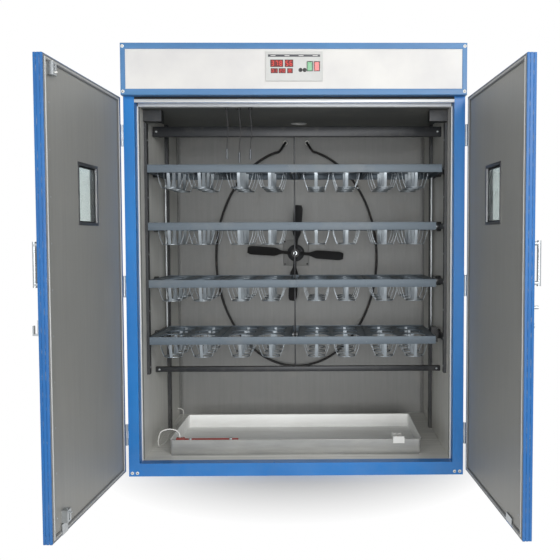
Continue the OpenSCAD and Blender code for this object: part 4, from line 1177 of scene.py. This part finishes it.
# ---------------------------------------------------------------- turning rack
@dataclass
class EggTray:
    """One pressed tray with six strapped baskets."""

    width: float = 297.0
    depth: float = 384.0
    sheet: float = 1.5
    height: float = 28.0
    hole: float = 58.0
    pitch: tuple[float, float] = (134.0, 124.0)
    lip: float = 2.2
    lip_depth: float = 5.0
    basket: float = 94.0
    basket_foot: float = 38.0
    straps: int = 4
    bow: float = 6.0
    strap: tuple[float, float] = (13.0, 1.5)
    side_points: int = 8

    def holes(self) -> Array:
        """Middles of the six openings."""
        return grid_of(np.array([-0.5, 0.5]) * self.pitch[0], np.array([-1, 0, 1]) * self.pitch[1], [0])

    def sheet_cell(self, hole: Array, x: tuple[float, float], y: tuple[float, float]) -> Shape:
        """The sheet round one opening: rings from the pressed lip below the hole out to the cell's edge.

        A ring's share runs from 0 at the hole to 1 at the rectangle; the lip turns down along a
        quarter circle of radius `lip` before it.
        """
        step = np.arange(self.side_points) / self.side_points
        wide, deep, still = (x[1] - x[0]) * step, (y[1] - y[0]) * step, 0 * step
        xs = np.concatenate([x[0] + wide, still + x[1], x[1] - wide, still + x[0]])
        ys = np.concatenate([still + y[0], y[0] + deep, still + y[1], y[1] - deep])
        outer = np.stack([xs, ys], -1)
        away = outer - hole[:2]
        unit = away / np.linalg.norm(away, axis=1)[:, None]
        rings = [np.column_stack([hole[:2] + self.hole * unit, np.full(len(unit), -self.lip_depth)])]
        for b in np.radians([0, 45, 90]):
            r, z = self.hole + self.lip * (1 - np.cos(b)), -self.lip * (1 - np.sin(b))
            rings.append(np.column_stack([hole[:2] + r * unit, np.full(len(unit), z)]))
        rings.append(np.column_stack([outer, np.zeros(len(unit))]))
        top = np.array(rings)
        under = top.copy()
        under[..., 2] -= self.sheet
        under[:4, :, :2] += unit * self.sheet
        under[:2, :, 2] += self.sheet
        return loft(np.concatenate([top[::-1], under]), loop=True)

    def basket_shape(self) -> Shape:
        """A basket's straps: they lean inwards along a slightly bowed line down to the ring below.

        A strap's line goes from the hole's edge to the ring with radius r = hole + 0.9 minus the
        lean times t plus a bow of sin(pi t), and ends with a short foot along the ring.
        """
        t = np.linspace(0, 1, 6)
        r = self.hole + 0.9 - (self.hole - self.basket_foot) * t + self.bow * np.sin(np.pi * t)
        z = -self.sheet - (self.basket - self.sheet - 1) * t
        line = np.stack([r, 0 * r, z], -1)
        line = np.concatenate([line, [[self.basket_foot - 2.5, 0, -self.basket + 0.8]]])
        w, h = self.strap
        section = [(-w / 2, -h / 2), (w / 2, -h / 2), (w / 2, h / 2), (-w / 2, h / 2)]
        strap = swept(line, section, (1, 0, 0.0001))
        turns = about_z(np.arange(self.straps) * 360 / self.straps + 90)
        return copies(strap, turns, np.zeros((self.straps, 3)))

    def shape_into(self, made: Surface, x: float, y: float, z: float) -> None:
        """Adds a tray with its middle at x, y and its top at z."""
        place = np.array([x, y, z])
        cells = []
        for hole in self.holes():
            cx = (-self.width / 2, 0) if hole[0] < 0 else (0, self.width / 2)
            edges_y = np.array([-self.depth / 2, -self.pitch[1] / 2, self.pitch[1] / 2, self.depth / 2])
            row = int(round(hole[1] / self.pitch[1])) + 1
            cells.append(self.sheet_cell(hole, cx, (edges_y[row], edges_y[row + 1])))
        for points, faces in cells:
            made.add((points + place, faces), 0)
        h, t = self.height, self.sheet
        section = fillet([(0, 0), (t, 0), (t, -h + 3), (t + 3, -h + 3), (t + 3, -h), (0, -h)], 0.6, 2)
        low, high = place - [self.width / 2, self.depth / 2, 0], place + [self.width / 2, self.depth / 2, 0]
        corners = corners_of((low[0], high[0]), (low[1], high[1]))
        rings = [np.stack([cx + sx * section[:, 0], cy + sy * section[:, 0], z + section[:, 1]], -1)
                 for cx, cy, sx, sy in corners]
        made.add(loft(np.array(rings), loop=True), 0)
        places = self.holes() + place
        turns = np.repeat(np.eye(3)[None], len(places), 0)
        made.add(copies(self.basket_shape(), turns, places), 1)
        a, ring = self.basket_foot - 4, self.basket_foot + 2
        profile = fillet([(a, 0), (ring, 0), (ring, 4), (a, 4)], 1.2, 2)
        made.add(copies(torus(profile, (0, 0, -self.basket), Axis.Z, 24), turns, places), 1)


@dataclass
class TurningRack:
    """Uprights, bars, four tilting layers, the link bars and the turning motor."""

    palette: Palette
    tray: EggTray = field(default_factory=EggTray)
    tray_middles: tuple[float, ...] = (-486.5, -182.5, 153.5, 455.5)
    layer_y: float = 100.0
    layer_depth: float = 394.0
    left_end: float = -640.0
    post: float = -14.0
    separators: tuple[float, ...] = (-334.5, -30.5, 2.5, 304.5)
    rail: tuple[float, float, float] = (34.0, 3.0, 12.0)
    right_ends: tuple[float, float] = (632.0, 608.0)
    bolt_pitch: float = 124.5

    def layer(self, number: int) -> None:
        """One tilting layer: rolled rails, separators, stubs, and its four trays."""
        p = self.palette
        body = f"layer_{number}"
        node = span(f"layer_frame_{number}")
        z = (node[0][2] + node[1][2]) / 2
        height, thick, flange = self.rail
        right = self.right_ends[0 if number == 1 else 1]
        y0, y1 = self.layer_y, self.layer_y + self.layer_depth
        made = Surface()
        half = height / 2
        for y, inward in ((y0, 1), (y1, -1)):
            outline = [(y, half), (y, -half), (y + inward * (thick + flange), -half),
                       (y + inward * (thick + flange), -half + thick), (y + inward * thick, -half + thick),
                       (y + inward * thick, half)]
            outline = fillet(outline, 1.2, 2)
            outline[:, 1] += z
            made.add(prism(outline, Axis.X, self.left_end, right))
        walls = [(self.left_end, (0, thick)), (right, (-thick, 0))]
        walls += [(s, (-1.5, 1.5)) for s in self.separators]
        for x, wall in walls:
            made.add(rounded_box([x + wall[0], y0 + 0.5, z - half], [x + wall[1], y1 - 0.5, z + half], 1.0))
        axis, inner = (y0 + y1) / 2, CAB.inner
        link_y, link_x = y1 - 14, inner - 15
        for profile, x, y, sides in (
                ([(7.4, 0), (8, 0.6), (8, self.left_end + inner - 3)], -inner + 3, axis, 24),
                ([(8, 0), (8, inner - 3.6 - right), (7.4, inner - 3 - right)], right, axis, 24),
                ([(5, 0), (5, 31)], -29.5, axis, 20),
                ([(3.4, 0), (4, 0.6), (4, self.left_end + link_x + 5)], -link_x - 4.5, link_y, 16),
                ([(4, 0), (4, link_x + 3.9 - right), (3.4, link_x + 4.5 - right)], right, link_y, 16)):
            made.add(lathe(profile, (x, y, z), Axis.X, sides), 1)
        for s in self.separators:
            made.add(heads(grid_of([s], [y0], [z - 9, z + 9]), (0, -1, 0), 2.6, 1.0))
        piece(made, f"layer_rails_{number}", body, [p.tray_metal, p.bright_metal],
              (f"layer_frame_{number}",))
        top = span(f"egg_trays_{number}")[1][2]
        for k, x in enumerate(self.tray_middles):
            tray = Surface()
            self.tray.shape_into(tray, x, axis, top)
            piece(tray, f"egg_tray_{number}_{k + 1}", body, [p.tray_metal, p.strap_metal],
                  (f"egg_trays_{number}",) if k == 0 else (), 40)

    def cross_bars(self, bars: tuple[Array, Array]) -> None:
        """The two tubes from wall to wall, and the middle post with its bearing eyes."""
        low, high = bars
        axis, x = (low[1] + high[1]) / 2, self.post
        heights = [span(f"egg_trays_{k}")[1][2] - self.tray.height / 2 for k in range(1, 5)]
        made = Surface()
        made.add(rounded_box(low, [high[0], high[1], low[2] + 24], 3.0), 0)
        made.add(rounded_box([low[0], low[1], high[2] - 46], high, 3.0), 0)
        stops = [low[2] + 23.5] + [z + d for z in reversed(heights) for d in (-9, 9)] + [high[2] - 45.5]
        for z0, z1 in zip(stops[::2], stops[1::2]):
            made.add(rounded_box([x - 3, axis - 6, z0], [x + 3, axis + 6, z1], 1.0), 1)
        for z in heights:
            eye = fillet([(5.08, -5), (11, -5), (11, 5), (5.08, 5)], 0.8, 2)
            made.add(torus(eye, (x, axis, z), Axis.X, 32), 1)
        piece(made, "rack_bars", "cabinet", [self.palette.dark_steel, self.palette.dark_steel],
              ("cross_bars",))

    def uprights(self) -> None:
        """Finishes of the fixed rack, and its bolts on the bars and ladders."""
        p = self.palette
        dress("rack_frame", p.dark_steel)
        dress("link_bars", p.bright_metal)
        dress("turn_motor", p.black_plastic)
        bars = span("cross_bars")
        self.cross_bars(bars)
        made = Surface()
        for z in (bars[0][2] + 12, bars[1][2] - 23):
            places = grid_of([-CAB.inner + 18, CAB.inner - 18], [self.layer_y + 185], [z])
            made.add(heads(places, (0, -1, 0), 5, 3))
        for s in (-1, 1):
            z = np.arange(bars[0][2] + 50, bars[1][2], self.bolt_pitch)
            places = grid_of([s * (CAB.inner - 12)], [self.layer_y + 45], z)
            made.add(heads(places, (-s, 0, 0), 4, 2.2))
        piece(made, "rack_bolts", "cabinet", [p.bright_metal])
        motor = span("turn_motor")
        ribs = Surface()
        for z in np.arange(motor[0][2] + 10, motor[1][2] - 6, 9):
            low = [motor[0][0] + 2, motor[0][1] - 0.8, z]
            high = [motor[1][0] - 2, motor[0][1] + 0.4, z + 3]
            ribs.add(rounded_box(low, high, 0.4))
        piece(ribs, "turn_motor_ribs", "cabinet", [p.black_plastic])

    def build(self) -> None:
        """Builds the rack."""
        self.uprights()
        for number in range(1, 5):
            self.layer(number)


# ---------------------------------------------------------------- heater and fan
@dataclass
class HeaterAndFan:
    """The oval heater tube and the fan on the back wall."""

    palette: Palette
    middle: tuple[float, float] = (-24.0, 902.0)
    half_axes: tuple[float, float] = (427.0, 578.0)
    gap: float = 12.0
    tube: float = 6.0
    clips: tuple[float, ...] = (50.0, 130.0, 230.0, 310.0)
    root: float = 20.0
    chord: float = 50.0
    arm: float = 18.0
    pitch: tuple[float, float] = (34.0, 26.0)
    camber: float = 5.0
    clip: float = 8.2
    stand_off: float = 45.0
    can: float = 55.0

    def heater(self) -> None:
        """The tube: an ellipse left open at the top, whose ends turn up and back into bushes."""
        y = CAB.back - self.stand_off
        a, b = self.half_axes
        t = np.radians(np.linspace(self.gap, 360 - self.gap, 121))
        arc = np.stack([self.middle[0] + a * np.sin(t), y + 0 * t, self.middle[1] + b * np.cos(t)], -1)
        bends = ((22, 6, 32), (30, 22, 46), (31, 38, 49))
        ends = [np.array([end + [s * dx, dy, dz] for dx, dy, dz in bends])
                for end, s in ((arc[0], -1), (arc[-1], 1))]
        stops = np.concatenate([ends[0][::-1], arc, ends[1]])
        route = smooth_route(stops, 380)
        made = Surface()
        made.add(swept(route, circle(self.tube, 14), (0.0001, 1, 0.0002)), 0)
        for angle in self.clips:
            r = math.radians(angle)
            x, z = self.middle[0] + a * math.sin(r), self.middle[1] + b * math.cos(r)
            made.add(rounded_box([x - 8, y + self.tube + 0.4, z - 8], [x + 8, CAB.back, z + 8], 1.5), 1)
            along = np.array([a * math.cos(r), 0, -b * math.sin(r)])
            along /= np.linalg.norm(along)
            turn = np.radians(np.linspace(0, 360, 25)[:-1])
            out = np.cross(along, [0, 1, 0])
            round_tube = np.cos(turn)[:, None] * out + np.sin(turn)[:, None] * [0, 1.0, 0]
            ring = np.array([x, y, z]) + self.clip * round_tube
            made.add(swept(ring, [(-1, -4), (1, -4), (1, 4), (-1, 4)], tuple(along), loop=True), 1)
        for end in (ends[0][2], ends[1][2]):
            profile = [(self.clip, 0), (11, 0), (12, 1), (12, 14), (self.clip, 14)]
            made.add(torus(profile, (end[0], CAB.back - 14, end[2]), Axis.Y, 24), 2)
        piece(made, "heater_tube", "cabinet",
              [self.palette.heater_skin, self.palette.bright_metal, self.palette.white_plastic],
              ("heater_ring",))

    def blades(self) -> None:
        """Four twisted blades on a hub.

        A blade is a narrow arm that widens into a paddle: its chord steps smoothly from arm to
        chord between a fifth and two fifths of its length, with a camber of v squared, and its pitch
        falls from 34 degrees at the root to 26 at the tip.
        """
        low, high = span("fan_blades")
        cx, cy, cz = (low + high) / 2
        tip = (high[2] - low[2]) / 2 - 3.5
        u = np.linspace(0, 1, 22)[:, None]
        v = np.linspace(-0.5, 0.5, 9)[None]
        length = self.root + (tip - self.root) * u
        step = np.clip((u - 0.2) / 0.2, 0, 1)
        chord = self.arm + (self.chord - self.arm) * step ** 2 * (3 - 2 * step)
        chord = chord * (1 - 0.35 * np.maximum(u - 0.93, 0) / 0.07)
        pitch = np.radians(self.pitch[0] - (self.pitch[0] - self.pitch[1]) * u)
        camber = self.camber * (0.25 - v ** 2)
        face = []
        for offset in (0.9, -0.9):
            side, up = chord * v, camber + offset
            x = side * np.cos(pitch) - up * np.sin(pitch)
            y = side * np.sin(pitch) + up * np.cos(pitch)
            face.append(np.stack(np.broadcast_arrays(x, y, length + 0 * v), -1))
        rings = np.concatenate([face[0], face[1][:, ::-1]], 1)
        blade = loft(rings)
        made = Surface()
        for k in range(4):
            a = math.radians(90 * k + 4)
            turn = np.array([[math.cos(a), 0, math.sin(a)], [0, 1, 0], [-math.sin(a), 0, math.cos(a)]])
            made.add((blade[0] @ turn.T + [cx, cy, cz], blade[1]), 0)
        hub = [(6.1, -18), (22, -18), (25.4, -15), (26, -12), (26, 15), (24, 18), (6.1, 18)]
        made.add(torus(hub, (cx, cy, cz), Axis.Y, 48), 0)
        made.add(torus([(6.2, -19.6), (11, -19.6), (11, -18), (6.2, -18)], (cx, cy, cz), Axis.Y, 6), 1)
        piece(made, "fan_rotor", "fan", [self.palette.fan_black, self.palette.bright_metal],
              ("fan_blades",))

    def motor(self) -> None:
        """The motor: a finned can with domed front, a mounting plate with screws, and the shaft."""
        low, high = span("fan_motor")
        cx, cz = (low[0] + high[0]) / 2, (low[2] + high[2]) / 2
        front = CAB.back - self.can
        profile = [(14, front), (38, front + 0.6), (43, front + 4)]
        for k in range(6):
            y = front + 9 + 6.5 * k
            profile += [(43, y), (45, y + 0.6), (45, y + 2.6), (43, y + 3.2)]
        profile += [(43, CAB.back - 5), (14, CAB.back - 5)]
        made = Surface()
        made.add(torus(profile, (cx, 0, cz), Axis.Y, 48), 0)
        made.add(rounded_box([low[0], CAB.back - 5, low[2]], [high[0], CAB.back, high[2]], 2), 1)
        shaft = [(5.0, low[1]), (6, low[1] + 1), (6, front + 1)]
        made.add(lathe(shaft, (cx, 0, cz), Axis.Y, 24), 2)
        boss = [(6.2, front - 4), (13, front - 4), (14.5, front + 0.5), (6.2, front + 0.5)]
        made.add(torus(boss, (cx, 0, cz), Axis.Y, 32), 0)
        made.add(heads(grid_of([low[0] + 10, high[0] - 10], [CAB.back - 5], [low[2] + 10, high[2] - 10]),
                       (0, -1, 0), 4.5, 2.4), 2)
        piece(made, "fan_motor_can", "cabinet",
              [self.palette.dark_steel, self.palette.back_metal, self.palette.dark_steel],
              ("fan_motor",))

    def build(self) -> None:
        """Builds heater and fan."""
        self.heater()
        self.motor()
        self.blades()


# ---------------------------------------------------------------- water pan
@dataclass
class WaterPan:
    """The humidity pan with its heater and float valve."""

    palette: Palette
    corner: float = 14.0
    wall: float = 1.8
    roll: float = 3.0
    shelf: float = 10.0

    def outline(self, low: Array, high: Array, inset: float) -> Array:
        """The pan's plan at an inset: a rectangle with quarter-circle corners, 7 points each."""
        r = self.corner - inset * 0.6
        a = np.radians(np.linspace(0, 90, 7))
        parts = []
        plan = [(high[0], high[1]), (low[0], high[1]), (low[0], low[1]), (high[0], low[1])]
        for k, (x, y) in enumerate(plan):
            sx, sy = (-1 if x == high[0] else 1), (-1 if y == high[1] else 1)
            centre = np.array([x + sx * (r + inset), y + sy * (r + inset)])
            turn = a + k * np.pi / 2
            parts.append(centre + r * np.stack([np.cos(turn), np.sin(turn)], -1))
        return np.concatenate(parts)

    def tub(self) -> None:
        """The pan as one loft: inner floor, inner wall, rolled rim, outer wall, outer floor."""
        lip, high = span("water_pan")
        front = lip[1] + self.shelf
        low = np.array([lip[0], front, lip[2]])
        wall, roll, base, rim = self.wall, self.roll, low[2], high[2]
        steps = [(wall + 6, base + 2.2), (wall + roll, base + 3.4), (wall + roll, base + 8),
                 (wall + roll, rim - 3), (wall + 2, rim - 0.8), (roll * 0.5, rim - 0.2),
                 (0.2, rim - 1.6), (0.2, rim - 4.4), (1.4, rim - 5.4), (roll, rim - 5.6),
                 (roll, base + 6), (roll + 2, base + 1), (roll + 5, base + 0.2)]
        rings = [np.column_stack([self.outline(low, high, i), np.full(28, z)]) for i, z in steps]
        made = Surface()
        points, (quads, bottom, top) = loft(np.array(rings))
        inside = 5 * len(rings[0])
        made.add((points, [quads[:inside], quads[inside:], bottom, top]), (1, 0, 1, 0))
        made.add(rounded_box([low[0] + 12, lip[1], base + 0.1],
                             [high[0] - 12, front + 6, base + 2.0], 0.8), 0)
        piece(made, "humidity_pan", "cabinet", [self.palette.pan_metal, self.palette.pan_inside],
              ("water_pan",))

    def fittings(self) -> None:
        """The pan's heater rod with its terminal box, and the float valve's finish."""
        low, high = span("pan_heater")
        z, y, start = high[2] - 8, (low[1] + high[1]) / 2, low[0] + 26
        made = Surface()
        rod = [(3.6, 0), (5, 1.2), (5, high[0] - start - 1.6), (3.6, high[0] - start)]
        made.add(lathe(rod, (start, y, z), Axis.X, 24), 0)
        for x in (low[0] + 56, low[0] + 236):
            made.add(rounded_box([x, y - 6, low[2]], [x + 12, y + 6, z + 6.2], 1.5), 1)
        made.add(rounded_box([low[0], y - 12, low[2]], [low[0] + 36, y + 12, high[2]], 2.5), 0)
        made.add(heads([[low[0] + 9, y, high[2]], [low[0] + 27, y, high[2]]], (0, 0, 1), 2.6, 1.2), 1)
        piece(made, "pan_heater_rod", "cabinet", [self.palette.copper_red, self.palette.bright_metal],
              ("pan_heater",))
        dress("float_valve", self.palette.white_plastic)

    def build(self) -> None:
        """Builds the pan."""
        self.tub()
        self.fittings()


# ---------------------------------------------------------------- sensors and wires
@dataclass(frozen=True)
class Probe:
    """One hanging probe: x, y and the height of its wire's lower end."""

    x: float
    y: float
    z: float


@dataclass
class SensorsAndWires:
    """Three hanging probes on their wires, and the lead of the pan's heater."""

    palette: Palette
    probes: tuple[Probe, ...] = (Probe(-292, 72, 1392), Probe(-240, 78, 1376), Probe(-192, 70, 1388))
    wire: float = 2.0
    lead: float = 2.5
    gland: float = 9.0
    gland_height: float = 8.0
    probe_length: float = 46.0
    trim: float = 2.0
    lead_route: tuple[tuple[float, float, float], ...] = (
        (-660, 770, 100), (-646, 770, 100), (-632, 766, 92), (-626, 740, 72), (-628, 700, 62),
        (-634, 620, 60), (-622, 520, 60), (-632, 420, 60), (-618, 320, 60), (-634, 240, 62),
        (-628, 190, 76), (-622, 160, 110), (-606, 140, 150), (-580, 140, 162),
        (-552, 148, 160), (-530, 154, 146), (-524, 155, 122))

    def hanging(self) -> None:
        """Wires that bow by a squared sine on their way down, each with a gland and a probe."""
        p = self.palette
        top = CAB.ceiling - self.trim - self.gland_height
        for k, probe in enumerate(self.probes, 1):
            gland = Surface()
            hole, wide = self.wire + 0.05, self.gland
            profile = [(hole, 0), (6.5, 0), (7.5, 1), (wide, 3.5), (wide, 8), (hole, 8)]
            gland.add(torus(profile, (probe.x, probe.y, top), Axis.Z, 24))
            gland_piece = piece(gland, f"sensor_gland_{k}", "cabinet", [p.black_plastic],
                                ("air_sensors",) if k == 1 else ())
            tip = Surface()
            n = self.probe_length
            profile = [(1.5, -n), (4.2, -n + 1.6), (5, -n + 5), (5, -14), (4.4, -13), (5, -12),
                       (5, -3), (3.4, 0)]
            tip.add(lathe(profile, (probe.x, probe.y, probe.z), Axis.Z, 20), 0)
            for z in (-n + 10, -n + 15, -n + 20):
                tip.add(torus([(4.8, z), (5.0, z + 0.4), (5.0, z + 1.2), (4.8, z + 1.6)],
                              (probe.x, probe.y, probe.z), Axis.Z, 20), 1)
            tip_piece = piece(tip, f"sensor_probe_{k}", "cabinet", [p.probe_metal, p.gasket_grey])
            f = np.linspace(0, 1, 29)
            bow = np.sin(np.pi * f) ** 2
            route = np.stack([probe.x + 5 * bow, probe.y + 2 * bow, top + (probe.z - top) * f], -1)
            line = Surface()
            line.add(swept(route, circle(self.wire, 12), (0.0001, 1, 0)))
            wire = piece(line, f"sensor_wire_{k}", "cabinet", [p.cord_black],
                         ("sensor_wires",) if k == 1 else ())

    def pan_lead(self) -> None:
        """The white lead that runs along the floor and over the pan's rim to its heater."""
        route = smooth_route(self.lead_route, 150)
        made = Surface()
        made.add(swept(route, circle(self.lead, 12), (0.3, 0.1, 0.95)))
        piece(made, "pan_heater_lead", "cabinet", [self.palette.white_plastic],
              ("pan_lead",))

    def build(self) -> None:
        """Builds the wires."""
        self.hanging()
        self.pan_lead()


# ---------------------------------------------------------------- studio
@dataclass
class Studio:
    """Camera, floor, backdrop light and soft lamps."""

    lens: float = 44.787
    shift: tuple[float, float] = (-0.0893, -0.0184)
    camera_place: tuple[float, float, float] = (0.1110, -3.3657, 1.0104)
    right: tuple[float, float, float] = (0.9999275, -0.0117531, -0.0026278)
    ahead: tuple[float, float, float] = (0.0116204, 0.9988822, -0.0458190)
    up: tuple[float, float, float] = (0.0031634, 0.0457852, 0.9989463)
    fade: tuple[float, float] = (0.42, 0.95)
    reach: float = 14.0

    @staticmethod
    def direct(n: Nodes) -> bpy.types.NodeSocket:
        """1 for the camera's rays, and for those that come by glass or a glossy surface."""
        path = n.make("ShaderNodeLightPath").outputs
        seen = n.math("MAXIMUM", path["Is Camera Ray"], path["Is Transmission Ray"])
        return n.math("MAXIMUM", seen, path["Is Glossy Ray"])

    def camera(self) -> None:
        """A camera whose matrix has right, up and backwards as its columns."""
        data = bpy.data.cameras.new("camera")
        data.lens, data.sensor_width = self.lens, 36.0
        data.shift_x, data.shift_y = self.shift
        data.clip_end = 100.0
        obj = bpy.data.objects.new("camera", data)
        bpy.context.scene.collection.objects.link(obj)
        m = np.eye(4)
        m[:3, 0], m[:3, 1], m[:3, 2], m[:3, 3] = self.right, self.up, -np.array(self.ahead), self.camera_place
        obj.matrix_world = mathutils.Matrix(m.tolist())
        bpy.context.scene.camera = obj

    def floor(self) -> None:
        """A wide pale plane just under the object."""
        ends = [-self.reach, self.reach]
        xs, ys = np.meshgrid(ends, ends, indexing="ij")
        mesh = bpy.data.meshes.new("floor")
        mesh.from_pydata(np.stack([xs, ys, 0 * xs - 0.0005], -1).reshape(-1, 3).tolist(), [], [[0, 2, 3, 1]])
        obj = bpy.data.objects.new("floor", mesh)
        bpy.context.scene.collection.objects.link(obj)
        f = Finish("pale_floor")
        grain = f.effect(Effect.GRAIN, Scale=60.0, Patch=1.2)
        colour = f.n.mix(grain.outputs["Patches"], linear(232, 231, 229), linear(240, 239, 238))
        f.set(Base_Color=colour, Roughness=0.75)
        place = f.n.make("ShaderNodeTexCoord").outputs["Object"]
        away = f.n.make("ShaderNodeVectorMath", {0: place}, operation="LENGTH").outputs["Value"]
        share = f.n.math("MULTIPLY", f.n.spread(away, *self.fade, 0.0, 1.0), self.direct(f.n))
        white = f.n.make("ShaderNodeEmission", {"Color": (1, 1, 1, 1), "Strength": 1.0})
        mixed = f.n.make("ShaderNodeMixShader", {0: share, 1: f.shader.outputs[0], 2: white.outputs[0]})
        leave = f.material.node_tree.nodes["Material Output"]
        f.material.node_tree.links.new(mixed.outputs[0], leave.inputs["Surface"])
        mesh.materials.append(f.material)

    def light(self) -> None:
        """A white world for the camera and reflections, a softer one for the object, and three lamps."""
        world = bpy.data.worlds.new("studio")
        bpy.context.scene.world = world
        world.use_nodes = True
        world.node_tree.nodes.clear()
        n = Nodes(world.node_tree)
        plain = n.make("ShaderNodeBackground", {"Color": (1, 1, 1, 1), "Strength": 0.5})
        white = n.make("ShaderNodeBackground", {"Color": (1, 1, 1, 1), "Strength": 1.0})
        mixed = n.make("ShaderNodeMixShader", {0: self.direct(n), 1: plain.outputs[0], 2: white.outputs[0]})
        n.make("ShaderNodeOutputWorld", {"Surface": mixed.outputs[0]})
        for name, place, aim, size, power in (
                ("key", (2.9, -6.6, 3.0), (-0.3, 0.2, 0.8), 2.7, 176.0),
                ("fill", (-3.2, -6.6, 1.9), (0.2, 0.2, 0.8), 3.4, 34.0),
                ("front", (0.1, -6.6, 1.0), (0.0, 0.4, 0.8), 1.8, 118.0)):
            data = bpy.data.lights.new(name, "AREA")
            data.energy, data.size = power, size
            lamp = bpy.data.objects.new(name, data)
            lamp.location = place
            aim_at = mathutils.Vector(aim) - mathutils.Vector(place)
            lamp.rotation_euler = aim_at.to_track_quat("-Z", "Y").to_euler()
            bpy.context.scene.collection.objects.link(lamp)
        bpy.context.scene.view_settings.view_transform = "Standard"

    def build(self) -> None:
        """Sets the stage."""
        self.camera()
        self.floor()
        self.light()


def main() -> None:
    """Builds every sub-assembly in order."""
    Studio().build()
    palette = Palette()
    SensorsAndWires(palette).build()
    CabinetShell(palette).build()
    HeaderBox(palette).build()
    for side in Side:
        DoorLeaf(palette, side).build()
    DoorHardware(palette).build()
    TurningRack(palette).build()
    HeaterAndFan(palette).build()
    WaterPan(palette).build()


if __name__ == "__main__":
    main()
